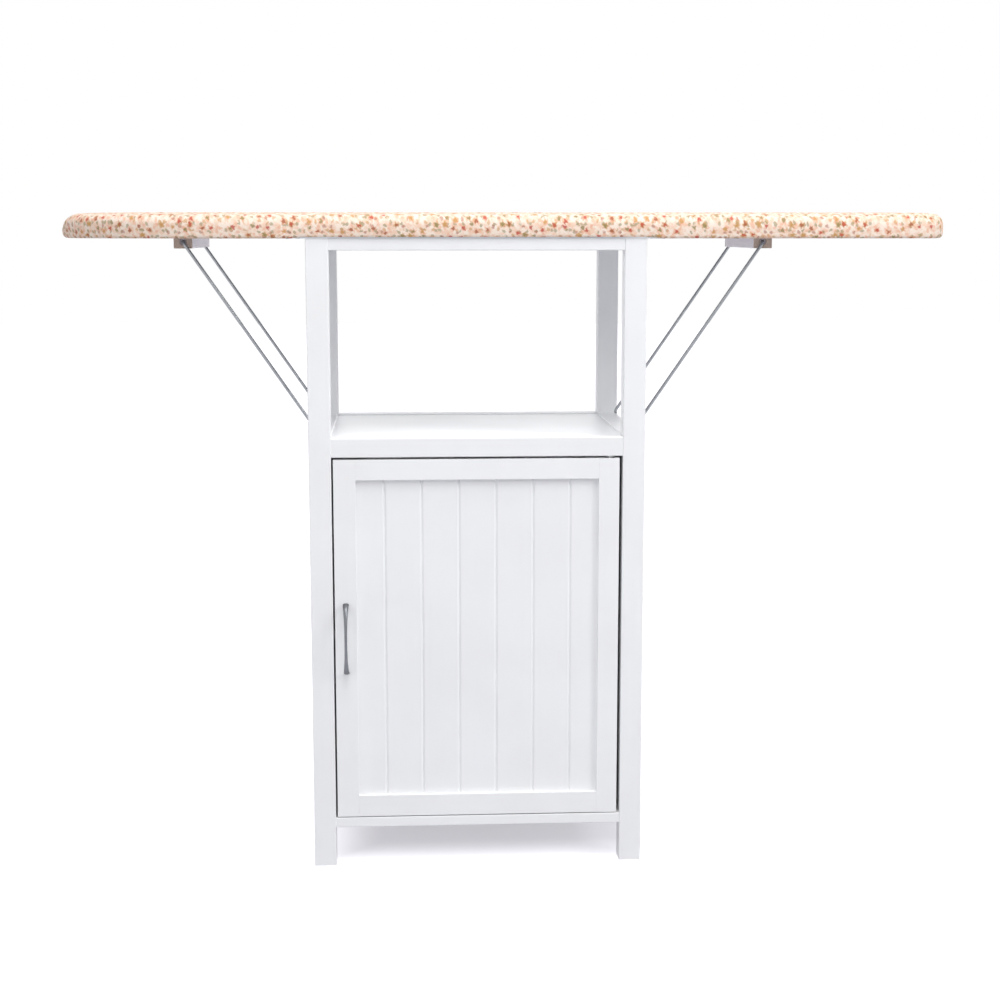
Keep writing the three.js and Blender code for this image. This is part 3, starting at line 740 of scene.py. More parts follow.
def swept(name, stations, sides):
    """A round or oval bar through stations: centre, direction, side hint and both half sizes."""
    deselect()
    bpy.ops.mesh.primitive_circle_add(
        vertices=sides, radius=1, fill_type="NGON", location=(0, 0, 0)
    )
    bar = started(name)
    before = Matrix.Identity(4)
    with Editing(bar) as edit:
        edit.pick("faces", lambda face: True)
        for index, (centre, direction, hint, half_across, half_through) in enumerate(stations):
            if index:
                bpy.ops.mesh.extrude_region_move()
            ahead = direction.normalized()
            side = (hint - ahead * hint.dot(ahead)).normalized()
            turned = Matrix((side, ahead.cross(side), ahead)).transposed().to_4x4()
            sized = Matrix.Diagonal((half_across, half_through, 1, 1))
            now = Matrix.Translation(centre) @ turned @ sized
            change = now @ before.inverted()
            edit.shift(lambda place: change @ place)
            before = now
    return faced_out(bar)


def bezier(corners, share):
    """A point on the curve between four corners, in the plane or in space."""
    left = 1 - share
    weights = (left**3, 3 * left**2 * share, 3 * left * share**2, share**3)
    return sum((corner * weight for corner, weight in zip(corners, weights)), corners[0] * 0)


def arc_stations(start, ahead, turned, radius, steps, hint, half):
    """Stations round a bend that leaves one direction and ends in another."""
    angle = ahead.angle(turned)
    inward = (turned - ahead * turned.dot(ahead)).normalized()
    centre = start + inward * radius
    stations = []
    for step in range(steps + 1):
        turn = angle * step / steps
        place = centre - inward * (radius * math.cos(turn)) + ahead * (radius * math.sin(turn))
        direction = ahead * math.cos(turn) + inward * math.sin(turn)
        stations.append((place, direction, hint, half, half))
    return stations


# ---- padded cover

OUTLINE_STEP = 6.5 * MM
NOSE_STATIONS = 46
CORNER_STATIONS = 11
END_STATIONS = 15
ACROSS = 30
CROWN_EDGE = 14 * MM
CROWN_REACH = 46 * MM
CROWN_DROP = 1.3 * MM
EDGE_ARC_STEPS = 6
LOWER_ARC_STEPS = 4
STAPLED_STEPS = 4 + LOWER_ARC_STEPS
HEM_HIDDEN = 2.5 * MM
HEM_LIP = 3 * MM
HEM_LIP_RISE = 0.5 * MM
HEM_LIP_EASE = 0.8 * MM
HEM_SAG = 0.2 * MM
SIDE_LEAN = 0.15 * MM
UPPER_BULGE = 0.35
GATHER_PITCH = 9 * MM
SLACK_PITCH = 42 * MM
CROWN_UNEVEN = 0.25 * MM
CROWN_PATCH = 90 * MM
BOW_SHARE = 0.88
BOW_FADE = 220 * MM
CENTRE_HEM_CLEARANCE = 0.1 * MM
HEM_STARTS = 236 * MM
HEM_FULL = 248 * MM
PAD_FRAMES = 14
PAD_CAP = 1.6 * MM
CLOTH = {
    "quality": 6,
    "mass": 0.25,
    "tension_stiffness": 12,
    "compression_stiffness": 12,
    "shear_stiffness": 6,
    "bending_stiffness": 0.4,
    "shrink_min": -0.012,
    "vertex_group_mass": "stapled",
    "use_pressure": True,
    "uniform_pressure_force": 3.0,
}


def smooth_step(low, high, value):
    share = min(max((value - low) / (high - low), 0), 1)
    return share * share * (3 - 2 * share)


def mirrored(place):
    """The same place on the other side of the board's long middle line."""
    return Vector((place.x, BOARD_CENTRE_Y * 2 - place.y))


class BoardOutline:
    """Front half of the board's plan, from the tip of the nose to the middle of the square end."""

    def __init__(self, cover):
        self.cover = cover
        self.front = BOARD_LOW.y
        self.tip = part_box("left_leaf_pad")[0].x
        self.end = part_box("right_leaf_pad")[1].x
        self.points = self.nose() + self.straight() + self.square_end()
        self.inward = [self.normal(index) for index in range(len(self.points))]
        self.along = self.lengths()

    def nose(self):
        taper = HINGE_LINE["left"].x - self.cover.nose_straight
        shoulder = HINGE_LINE["left"].x - self.cover.nose_shoulder
        corners = [
            Vector((self.tip, BOARD_CENTRE_Y)),
            Vector((self.tip, BOARD_CENTRE_Y - self.cover.nose_tip_half)),
            Vector((shoulder, self.front)),
            Vector((taper, self.front)),
        ]
        return [bezier(corners, step / NOSE_STATIONS) for step in range(NOSE_STATIONS)]

    def straight(self):
        start = HINGE_LINE["left"].x - self.cover.nose_straight
        length = self.end - self.cover.corner_radius - start
        count = round(length / OUTLINE_STEP)
        return [Vector((start + length * step / count, self.front)) for step in range(count)]

    def square_end(self):
        radius = self.cover.corner_radius
        centre = Vector((self.end - radius, self.front + radius))
        points = []
        for step in range(CORNER_STATIONS):
            turn = math.pi / 2 * step / CORNER_STATIONS
            points.append(centre + Vector((math.sin(turn), -math.cos(turn))) * radius)
        span = BOARD_CENTRE_Y - centre.y
        for step in range(END_STATIONS + 1):
            points.append(Vector((self.end, centre.y + span * step / END_STATIONS)))
        return points

    def normal(self, index):
        """Unit vector from the edge into the board."""
        last = len(self.points) - 1
        if index == 0:
            return Vector((1, 0))
        if index == last:
            return Vector((-1, 0))
        run = self.points[index + 1] - self.points[index - 1]
        return Vector((-run.y, run.x)).normalized()

    def lengths(self):
        """Length along the edge, which equals X on the straight stretch."""
        total, sums = 0.0, [0.0]
        for before, after in zip(self.points, self.points[1:]):
            total += (after - before).length
            sums.append(total)
        shift = self.points[NOSE_STATIONS].x - sums[NOSE_STATIONS]
        return [value + shift for value in sums]

    def bow(self, index):
        """How far a crosswise line of the top bends, so that lines spread over the square end."""
        point = self.points[index]
        half = BOARD_CENTRE_Y - point.y
        start = self.end - self.cover.corner_radius
        fade = min(max(1 - (start - point.x) / BOW_FADE, 0.0), 1.0)
        return BOW_SHARE * half * fade


class BoardCover:
    """The cover as one closed skin over the whole board, parted afterwards over the cabinet."""

    def __init__(self, cover):
        self.cover = cover
        self.outline = BoardOutline(cover)
        self.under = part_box("centre_pad")[0].z
        self.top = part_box("centre_pad")[1].z
        self.mesh = bmesh.new()
        self.maps = {}
        self.pinned = []

    def hem_level(self, x):
        """Lowest level of the cover: turned under on the leaves, resting on the rails between."""
        share = smooth_step(HEM_STARTS, HEM_FULL, abs(x - CABINET_CENTRE_X))
        return self.under + CENTRE_HEM_CLEARANCE * (1 - share) - self.cover.hem_thickness * share

    def edge_profile(self, index):
        """Inset and height up the side at a station, from inside the hem to the top."""
        cover = self.cover
        low = self.hem_level(self.outline.points[index].x)
        turned = 1 - smooth_step(0.0, 0.7, abs(self.outline.inward[index].y))
        nosed = turned if self.outline.points[index].x < CABINET_CENTRE_X else 0.0
        radius = cover.top_edge_radius + (cover.nose_height - cover.top_edge_radius) * nosed
        reach = CROWN_EDGE + (cover.nose_slope - CROWN_EDGE) * nosed
        lower = cover.lower_edge_radius + (cover.end_edge_radius - cover.lower_edge_radius) * turned
        bulge = cover.side_bulge * (1 - turned)
        side_top = self.top - CROWN_DROP - radius
        profile = [
            (cover.hem_width + HEM_LIP, self.under + HEM_HIDDEN),
            (cover.hem_width + HEM_LIP, low + HEM_LIP_RISE),
            (cover.hem_width + HEM_LIP - HEM_LIP_EASE, low),
            ((cover.hem_width + lower) / 2, low - HEM_SAG),
        ]
        for step in range(LOWER_ARC_STEPS + 1):
            turn = math.pi / 2 * step / LOWER_ARC_STEPS
            inset = lower * (1 - math.sin(turn)) + bulge * math.sin(turn) ** 2
            profile.append((inset, low + lower * (1 - math.cos(turn))))
        gap = side_top - low - lower
        profile += [
            (bulge * UPPER_BULGE, low + lower + gap * 0.4),
            (0.0, low + lower + gap * 0.75),
            (SIDE_LEAN, side_top),
        ]
        for step in range(1, EDGE_ARC_STEPS + 1):
            turn = math.pi / 2 * step / EDGE_ARC_STEPS
            inset = reach * (1 - math.cos(turn))
            profile.append((SIDE_LEAN + inset, side_top + radius * math.sin(turn)))
        return profile

    def gather(self, index, height_share):
        """Small puckers where the hem gathers the cloth round the nose and the corners."""
        along = self.outline.along[index]
        curved = 1 - abs(self.outline.inward[index].y) ** 3
        wave = noise.noise(Vector((along / GATHER_PITCH, 3.7, height_share * 0.8)))
        slow = noise.noise(Vector((along / SLACK_PITCH, 9.1, height_share)))
        fade = (1 - height_share) ** 1.4
        return self.cover.pucker_depth * (wave * fade * (0.35 + 0.9 * curved) + slow * 0.5)

    def build(self):
        outline = self.outline
        rows = []
        for index, (point, inward) in enumerate(zip(outline.points, outline.inward)):
            profile = self.edge_profile(index)
            front = []
            run = 0.0
            for step, (inset, height) in enumerate(profile):
                if step:
                    run += math.dist(profile[step - 1], (inset, height))
                share = (height - self.under) / (self.top - self.under)
                pucker = self.gather(index, min(max(share, 0), 1)) if step > 4 else 0.0
                front.append((point + inward * (inset - pucker), height, run, step < STAPLED_STEPS))
            rows.append(self.row(index, front))
        self.skin(rows)
        return self.object()

    def row(self, index, front):
        """One crosswise loop of the skin: up the front edge, over the top, down and under."""
        back = [(mirrored(place), *rest) for place, *rest in front]
        total = front[-1][2]
        near = self.outline.front + CROWN_EDGE
        far = BOARD_CENTRE_Y * 2 - near
        loop = self.side(index, front, lambda run: near - (total - run))
        loop += self.span(index, front[-1][0], back[-1][0], None)
        loop += self.side(index, reversed(back), lambda run: far + total - run)
        loop += self.span(index, back[0][0], front[0][0], front[0][1])
        return loop

    def side(self, index, points, cloth_y):
        along = self.outline.along[index]
        return [
            self.vertex(place, height, (along, cloth_y(run)), pinned)
            for place, height, run, pinned in points
        ]

    def span(self, index, start, end, height):
        """A line from edge to edge: free over the top, or pinned at a height under the board."""
        bow = self.outline.bow(index)
        line = []
        for step in range(1, ACROSS):
            share = step / ACROSS
            place = start.lerp(end, share)
            place.x -= bow * (1 - (2 * share - 1) ** 2)
            line.append(self.vertex(place, height, (place.x, place.y), height is not None))
        return line

    def vertex(self, place, height, cloth, pinned):
        """A point of the skin. Without a height it lies on the crowned top."""
        if height is None:
            height = self.crown(place)
        made = self.mesh.verts.new((place.x, place.y, height))
        self.maps[made] = cloth
        if pinned:
            self.pinned.append(made)
        return made

    def crown(self, place):
        """Height of the top at a place: a soft dome that falls off towards the edge."""
        edge = min(
            (each - point).length
            for each in (place, mirrored(place))
            for point in self.outline.points[::3]
        )
        uneven = noise.noise(Vector((place.x / CROWN_PATCH, place.y / CROWN_PATCH, 5.3)))
        rise = smooth_step(CROWN_EDGE, CROWN_REACH, edge)
        return self.top - CROWN_DROP * (1 - rise) + min(uneven * CROWN_UNEVEN, 0) * rise

    def skin(self, rows):
        for before, after in zip(rows, rows[1:]):
            for index in range(len(before)):
                following = (index + 1) % len(before)
                corners = [before[index], after[index], after[following], before[following]]
                self.mesh.faces.new(corners)

    def object(self):
        mesh = self.mesh
        cloth = mesh.loops.layers.uv.new(CLOTH_MAP)
        for face in mesh.faces:
            for loop in face.loops:
                loop[cloth].uv = self.maps[loop.vert]
        mesh.verts.index_update()
        pinned = [vertex.index for vertex in self.pinned]
        data = bpy.data.meshes.new("board_cover")
        mesh.to_mesh(data)
        mesh.free()
        cover = bpy.data.objects.new("board_cover", data)
        bpy.context.collection.objects.link(cover)
        cover.vertex_groups.new(name="stapled").add(pinned, 1.0, "REPLACE")
        with Editing(cover):
            bpy.ops.mesh.select_all(action="SELECT")
            bpy.ops.mesh.remove_doubles(threshold=2e-6)
            bpy.ops.mesh.dissolve_degenerate(threshold=1e-6)
            bpy.ops.mesh.normals_make_consistent(inside=False)
        return cover


def plumped(cover):
    """Lets the padding push the cloth out for a few frames, held at the hem and capped."""
    before = [(vertex.co.copy(), vertex.normal.copy()) for vertex in cover.data.vertices]
    take(cover)
    bpy.ops.object.modifier_add(type="CLOTH")
    cloth = cover.modifiers[-1]
    for name, value in CLOTH.items():
        setattr(cloth.settings, name, value)
    cloth.settings.effector_weights.gravity = 0
    cloth.collision_settings.use_collision = False
    cloth.point_cache.frame_start = 1
    cloth.point_cache.frame_end = PAD_FRAMES
    for number in range(1, PAD_FRAMES + 1):
        bpy.context.scene.frame_set(number)
    bpy.ops.object.modifier_apply(modifier=cloth.name)
    bpy.context.scene.frame_set(1)
    for vertex, (start, outward) in zip(cover.data.vertices, before):
        move = vertex.co - start
        move -= outward * min(move.dot(outward), 0)
        vertex.co = start + move
        if move.length > PAD_CAP:
            vertex.co = start + move * (PAD_CAP / move.length)
    return cover


def parted(cover, side):
    """The part of the cover on one side of the cabinet's middle, closed where it is parted."""
    half = copied(cover, f"{side}_cover", (0, 0, 0))
    with Editing(half):
        bpy.ops.mesh.select_all(action="SELECT")
        bpy.ops.mesh.bisect(
            plane_co=(CABINET_CENTRE_X, 0, 0),
            plane_no=(1, 0, 0),
            use_fill=True,
            clear_inner=side == "right",
            clear_outer=side == "left",
        )
    return half


class CABINET_OT_board_cover(bpy.types.Operator):
    """Pads the board and draws the printed cover over it, parted at the cabinet's middle"""

    bl_idname = "cabinet.board_cover"
    bl_label = "Padded Cover"

    def execute(self, context):
        cover = settings().cover
        whole = BoardCover(cover).build()
        plumped(whole)
        whole.vertex_groups.clear()
        modified(whole, "SUBSURF", levels=1, render_levels=1)
        cotton = PrintedCotton(cover).material()
        for side, sign in SIDES.items():
            half = dressed(parted(whole, side), cotton, 40)
            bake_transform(half)
            stands_for = [f"{side}_leaf_pad"] + (["centre_pad"] if side == "left" else [])
            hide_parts(*stands_for)
        bpy.data.objects.remove(whole)
        return {"FINISHED"}


# ---- the door

TONGUE_LAP = 3 * MM
TONGUE_SINK = 0.2 * MM
TONGUE_EASE = 0.3 * MM
GROOVE_ROUNDNESS = 0.36
NEAR = 0.1 * MM


def tongued_board(index, name, low, high, door, last):
    """One board of the panel, rounded along its long edges, with a tongue behind the groove."""
    board = block(name, low, high)
    outer = [low.x] * (index == 0) + [high.x] * last

    def grooved(edge):
        corner = edge.verts[0].co
        in_front = runs_along(edge, 2) and corner.y < low.y + NEAR
        return in_front and all(abs(corner.x - x) > NEAR for x in outer)

    half_groove = (door.groove_width - door.joint_gap) / 2
    eased(board, grooved, half_groove, segments=3, profile=GROOVE_ROUNDNESS)
    if last:
        return faced_out(board)
    start = low.y + door.groove_depth + TONGUE_SINK
    tongue = block(
        f"{name}_tongue",
        (high.x - TONGUE_LAP, start, low.z),
        (high.x + door.joint_gap + TONGUE_LAP, start + door.tongue_thickness, high.z),
    )
    eased(tongue, lambda edge: runs_along(edge, 2), TONGUE_EASE)
    return joined(name, [faced_out(board), faced_out(tongue)])


class CABINET_OT_door_panel(bpy.types.Operator):
    """Fills the door with tongued boards whose rounded edges meet in grooves"""

    bl_idname = "cabinet.door_panel"
    bl_label = "Tongued Door Panel"

    def execute(self, context):
        door, paint = settings().door, settings().paint
        low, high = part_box("door_bead_panel")
        centre = (low.x + high.x) / 2
        boards = []
        for index in range(door.board_count):
            left = centre + (index - door.board_count / 2) * door.board_pitch + door.joint_gap / 2
            right = left + door.board_pitch - door.joint_gap
            last = index == door.board_count - 1
            left = low.x if index == 0 else left
            right = high.x if last else right
            corners = Vector((left, low.y, low.z)), Vector((right, high.y, high.z))
            boards.append(tongued_board(index, f"panel_board_{index + 1}", *corners, door, last))
        panel = joined("door_panel_boards", boards)
        finish = brushed_paint("Panel Paint", 2, paint.white, paint.white_worn, 0.42)
        dressed(panel, finish, 12)
        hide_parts("door_bead_panel")
        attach(panel, "door")
        return {"FINISHED"}


HANDLE_STATIONS = 40
HANDLE_SIDES = 28
CURVE_STEP = 0.004
FOOT_THINNING = 0.12
FOOT_RIM_ANGLE = 1.0
FOOT_EASE = 0.3 * MM


class CABINET_OT_bow_handle(bpy.types.Operator):
    """Draws the bow handle: slim at its middle, with a broad flat foot at each end"""

    bl_idname = "cabinet.bow_handle"
    bl_label = "Bow Handle"

    def execute(self, context):
        hardware = settings().hardware
        low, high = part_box("door_handle")
        waist = hardware.handle_waist
        x = (low.x + high.x) / 2
        feet = (low.z + waist, high.z - waist)
        pull = high.y - (high.y - low.y - waist) * 4 / 3
        corners = [
            Vector((x, high.y, feet[0])), Vector((x, pull, feet[0])),
            Vector((x, pull, feet[1])), Vector((x, high.y, feet[1])),
        ]
        centre_z = middle("door_handle").z
        foot_reach = high.z - centre_z - waist
        stations = []
        for step in range(HANDLE_STATIONS + 1):
            share = step / HANDLE_STATIONS
            place = bezier(corners, share)
            after = bezier(corners, min(share + CURVE_STEP, 1))
            ahead = after - bezier(corners, max(share - CURVE_STEP, 0))
            away = min(abs(place.z - centre_z) / foot_reach, 1) ** 3
            across = waist * (1 + (hardware.handle_flare - 1) * away)
            through = waist * (1 - FOOT_THINNING * away)
            stations.append((place, ahead, Vector((1, 0, 0)), across, through))
        handle = swept("bow_handle", stations, HANDLE_SIDES)
        eased(
            handle,
            lambda edge: len(edge.link_faces) == 2 and edge.calc_face_angle(0) > FOOT_RIM_ANGLE,
            FOOT_EASE,
        )
        stretch = (1 / (0.5 * MM), 1 / (0.5 * MM), 1 / (6 * MM))
        finish = metal_finish("Satin Nickel", hardware.nickel, 0.34, stretch)
        dressed(handle, finish, 40)
        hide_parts("door_handle")
        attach(handle, "door")
        return {"FINISHED"}


# ---- stays and battens

WIRE_SIDES = 20
BEND_STEPS = 8
KNEE_STEPS = 4
TIP_CHAMFER = 0.8 * MM
KNEE_HEIGHT = 11 * MM
KNEE_LEAD = 1.2 * MM
KNEE_BEND = 8 * MM
TIP_INSET = 5.5 * MM
TIP_RISE = 0.6
ROD_MIDDLE_GAP = 0.2 * MM


class CABINET_OT_wire_stays(bpy.types.Operator):
    """Bends one length of wire into each stay: an arm at each end of the rod through the batten"""

    bl_idname = "cabinet.wire_stays"
    bl_label = "Wire Stays"

    def execute(self, context):
        hardware = settings().hardware
        stretch = (1 / (0.6 * MM), 1 / (0.6 * MM), 1 / (22 * MM))
        finish = metal_finish("Drawn Wire", hardware.wire, 0.36, stretch, 0.16)
        for side, sign in SIDES.items():
            arms = self.arm_stations(side, sign, -1), self.arm_stations(side, sign, 1)
            flipped = [(place, -ahead, *rest) for place, ahead, *rest in reversed(arms[0])]
            stay = swept(f"{side}_wire_stay", flipped + arms[1], WIRE_SIDES)
            dressed(stay, finish, 50)
            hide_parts(f"{side}_stay_rod", f"{side}_stay_front_arm", f"{side}_stay_rear_arm")
            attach(stay, f"{side}_stay")
        return {"FINISHED"}

    def arm_stations(self, side, sign, end):
        """Stations of one arm: out from the rod's middle, round the bend and down to the tip."""
        hardware = settings().hardware
        radius, bend = hardware.wire_radius, hardware.bend_radius
        name = f"{side}_stay_rear_arm" if end > 0 else f"{side}_stay_front_arm"
        low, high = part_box(name)
        pivot = joint_point(f"{side}_stay_pivot")
        arm_y = high.y - radius if end > 0 else low.y + radius
        post_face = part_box(f"post_front_{side}")[0 if sign < 0 else 1].x
        tip = Vector((post_face - sign * TIP_INSET, arm_y, low.z + radius * TIP_RISE))
        knee = Vector((tip.x, arm_y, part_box("shelf_deck")[1].z + KNEE_HEIGHT))
        corner = Vector((pivot.x, arm_y, pivot.z))
        out = Vector((0, end, 0))
        down = (knee - corner).normalized()
        into_hole = (tip - knee).normalized()
        hint = out.cross(down)
        start = corner - out * bend
        middle_of_rod = pivot + out * ROD_MIDDLE_GAP
        over_knee = knee - down * KNEE_LEAD
        point = radius - TIP_CHAMFER
        return [
            (middle_of_rod, out, hint, radius, radius),
            *arc_stations(start, out, down, bend, BEND_STEPS, hint, radius),
            *arc_stations(over_knee, down, into_hole, KNEE_BEND, KNEE_STEPS, hint, radius),
            (tip - into_hole * TIP_CHAMFER, into_hole, hint, radius, radius),
            (tip, into_hole, hint, point, point),
        ]


# ---- screws and pins

SCREW_SIDES = 24
SCREW_DEPTH = 1.2 * MM
SCREW_SINK = 0.25 * MM
RIM_BELOW = -0.3 * MM
RIM_SHARE = 0.95
RIM_EASE = 0.18 * MM
HEAD_DISH = 0.12 * MM
RECESS_WIDTH = 0.24
RECESS_REACH = 0.58
HINGE_SCREWS = 5
HINGE_SCREW_INSET = 22 * MM
HINGE_SCREW_PLACE = 0.6
PLATE_THICKNESS = 1.2 * MM
BATTEN_SCREW_INSET = 38 * MM
BATTEN_SCREW_SIDE = 7.4 * MM
PIN_COUNT = 7
PIN_HEAD_RADIUS = 1.3 * MM
PIN_HEAD_FLATNESS = 0.45
PIN_HEAD_SINK = 0.2 * MM
LOW_PINS = 7 * MM
HIGH_PINS = 13 * MM


def cross_screw(name, radius):
    """A countersunk screw head with a cross recess, facing down, with its face just below Z 0."""
    deselect()
    bpy.ops.mesh.primitive_cylinder_add(
        vertices=SCREW_SIDES, radius=radius, depth=SCREW_DEPTH, location=(0, 0, SCREW_SINK)
    )
    head = started(name)

    def rim(edge):
        return all(
            vertex.co.z < RIM_BELOW and vertex.co.xy.length > radius * RIM_SHARE
            for vertex in edge.verts
        )

    with Editing(head) as edit:
        edit.pick("faces", lambda face: face.normal.z < -0.9)
        bpy.ops.mesh.inset(thickness=radius * 0.3, depth=HEAD_DISH)
        edit.pick("edges", rim)
        bpy.ops.mesh.bevel(offset=RIM_EASE, segments=2, affect="EDGES")
    for number, arms in enumerate(((1, RECESS_WIDTH, 0), (RECESS_WIDTH, 1, 0))):
        reach = Vector(arms) * radius * RECESS_REACH
        above = Vector((0, 0, 0.05 * MM))
        cut_away(head, block(f"slot_{number}", -reach - Vector((0, 0, 1 * MM)), reach + above))
    return faced_out(head)


class CABINET_OT_small_fixings(bpy.types.Operator):
    """Screws the hinges and battens to the board and pins the back panel to its rails"""

    bl_idname = "cabinet.small_fixings"
    bl_label = "Screws and Pins"

    def execute(self, context):
        hardware = settings().hardware
        stretch = (1 / (0.8 * MM),) * 3
        finish = metal_finish("Screw Plate", hardware.zinc, 0.38, stretch)
        pattern = cross_screw("screw_pattern", hardware.screw_head_radius)
        for side in SIDES:
            self.hinge_screws(side, pattern, finish)
            self.batten_screws(side, pattern, finish)
        bpy.data.objects.remove(pattern)
        self.panel_pins(finish)
        return {"FINISHED"}

    def hinge_screws(self, side, pattern, finish):
        """A row of screws through each leaf of a hinge."""
        for leaf, body in (("fixed", "cabinet"), ("moving", f"{side}_leaf")):
            low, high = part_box(f"{side}_hinge_{leaf}_leaf")
            low_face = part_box("centre_board")[0].z - PLATE_THICKNESS
            knuckle = HINGE_LINE[side].x
            outer = low.x if abs(low.x - knuckle) > abs(high.x - knuckle) else high.x
            x = knuckle + (outer - knuckle) * HINGE_SCREW_PLACE
            span = high.y - low.y - 2 * HINGE_SCREW_INSET
            places = []
            for number in range(HINGE_SCREWS):
                y = low.y + HINGE_SCREW_INSET + span * number / (HINGE_SCREWS - 1)
                places.append((x, y, low_face))
            self.row_of_screws(f"{side}_{leaf}_hinge_screws", pattern, places, finish, body)

    def batten_screws(self, side, pattern, finish):
        """Two screws up through each batten, clear of the rod inside it."""
        low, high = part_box(f"{side}_leaf_batten")
        x = (low.x + high.x) / 2
        places = [
            (x - BATTEN_SCREW_SIDE, low.y + BATTEN_SCREW_INSET, low.z),
            (x + BATTEN_SCREW_SIDE, high.y - BATTEN_SCREW_INSET, low.z),
        ]
        self.row_of_screws(f"{side}_batten_screws", pattern, places, finish, f"{side}_leaf")

    def row_of_screws(self, name, pattern, places, finish, body):
        """A screw at each place, as one piece that moves with a body."""
        row = [copied(pattern, f"{name}_{number}", place) for number, place in enumerate(places)]
        screws = dressed(joined(name, row), finish, 30)
        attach(screws, body)

    def panel_pins(self, finish):
        """Small domed heads along the top and bottom edges of the back panel."""
        low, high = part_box("back_panel")
        pins = []
        for level in (low.z + LOW_PINS, high.z - HIGH_PINS):
            for number in range(PIN_COUNT):
                x = low.x + (high.x - low.x) * (number + 0.5) / PIN_COUNT
                deselect()
                bpy.ops.mesh.primitive_uv_sphere_add(
                    segments=12, ring_count=8, radius=PIN_HEAD_RADIUS,
                    location=(x, high.y, level), scale=(1, PIN_HEAD_FLATNESS, 1),
                )
                pin = started(f"panel_pin_{len(pins)}")
                with Editing(pin):
                    bpy.ops.mesh.select_all(action="SELECT")
                    bpy.ops.mesh.bisect(
                        plane_co=(x, high.y - PIN_HEAD_SINK, level), plane_no=(0, 1, 0),
                        use_fill=True, clear_inner=True,
                    )
                pins.append(faced_out(pin))
        heads = joined("panel_pins", pins)
        dressed(heads, finish, 40)
        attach(heads, "cabinet")


# ---- finishes of carried parts

def coat(names, material):
    """Gives carried-over parts a finish."""
    for name in names:
        slots = frame["nodes"][name].material_slots
        for slot in slots:
            slot.material = material


class CABINET_OT_timber_finish(bpy.types.Operator):
    """Paints posts, rails, decks, panels and battens along their own grain"""

    bl_idname = "cabinet.timber_finish"
    bl_label = "Painted Timber"

    UPRIGHT = ("post_", "side_panel_", "door_stile_")
    CROSSWISE = ("_rail_front", "_rail_rear", "door_rail_", "inner_shelf", "_deck")
    LENGTHWISE = ("_rail_left", "_rail_right", "shelf_cleat_")

    def execute(self, context):
        paint = settings().paint
        for title, grain, marks in (
            ("Upright Paint", 2, self.UPRIGHT),
            ("Crosswise Paint", 0, self.CROSSWISE),
            ("Depthwise Paint", 1, self.LENGTHWISE),
        ):
            names = [name for name in frame["nodes"] if any(mark in name for mark in marks)]
            coat(names, brushed_paint(title, grain, paint.white, paint.white_worn))
        coat(["back_panel"], hardboard_finish(paint))
        coat(["centre_board", "left_leaf_board", "right_leaf_board"], faced_board_finish(paint))
        for side in SIDES:
            node = f"{side}_leaf_batten"
            pivot = joint_point(f"{side}_stay_pivot")
            coat([node], batten_finish(f"{side.title()} Batten", node, pivot, paint))
        return {"FINISHED"}


class CABINET_OT_hardware_finish(bpy.types.Operator):
    """Plates hinges, pins and strike, and gives bushes and catch their nylon"""

    bl_idname = "cabinet.hardware_finish"
    bl_label = "Hinges, Catch and Pivots"

    def execute(self, context):
        hardware = settings().hardware
        rolled = (1 / (0.7 * MM), 1 / (9 * MM), 1 / (0.7 * MM))
        zinc = metal_finish("Rolled Zinc", hardware.zinc, 0.4, rolled, 0.14)
        hinges = [name for name in frame["nodes"] if "_hinge_" in name and "stile" not in name]
        pivots = ["pivot_pin_top", "pivot_pin_bottom", "strike_plate"]
        screws = ["handle_screw_upper", "handle_screw_lower"]
        coat(hinges + pivots + screws, zinc)
        coat(["pivot_bush_top", "pivot_bush_bottom"], nylon_finish(hardware))
        coat(["magnetic_catch"], catch_finish(hardware))
        return {"FINISHED"}


# ---- stage and camera

CAMERA_PLACE = Vector((-0.13487, -2.51857, 0.87844))
CAMERA_PITCH = 81.24
CAMERA_YAW = -3.25
CAMERA_LENS = 63.19
FLOOR_REACH = 14.0
FLOOR_GREY = (0.50, 0.50, 0.53)
FLOOR_GRAIN = (0.48, 0.48, 0.51)
# FLOOR_GLOW is the camera-only glow kept under the cabinet; SHADOW_REACH and SHADOW_FADE set where
# painted light takes over from the real shadow.
FLOOR_GLOW = 0.47
SHADOW_REACH = Vector((0.16, 0.06))
SHADOW_FADE = 0.14
SKY_COLOUR = (0.965, 0.97, 1.0)
SKY_LIGHT = 0.45
UNLIT_RAYS = ("Is Camera Ray", "Is Glossy Ray", "Is Transmission Ray")
LAMPS = (
    ("Key Softbox", (2.9, -2.1, 2.4), (0.0, 0.0, 0.5), 1.1, 50.0),
    ("Left Softbox", (-2.3, -2.6, 1.7), (0.0, 0.0, 0.6), 2.0, 20.0),
    ("Top Softbox", (0.2, -1.1, 3.0), (0.0, 0.0, 0.5), 1.4, 42.0),
    ("Rear Softbox", (0.3, 2.6, 1.6), (0.0, 0.0, 0.45), 2.0, 8.0),
)


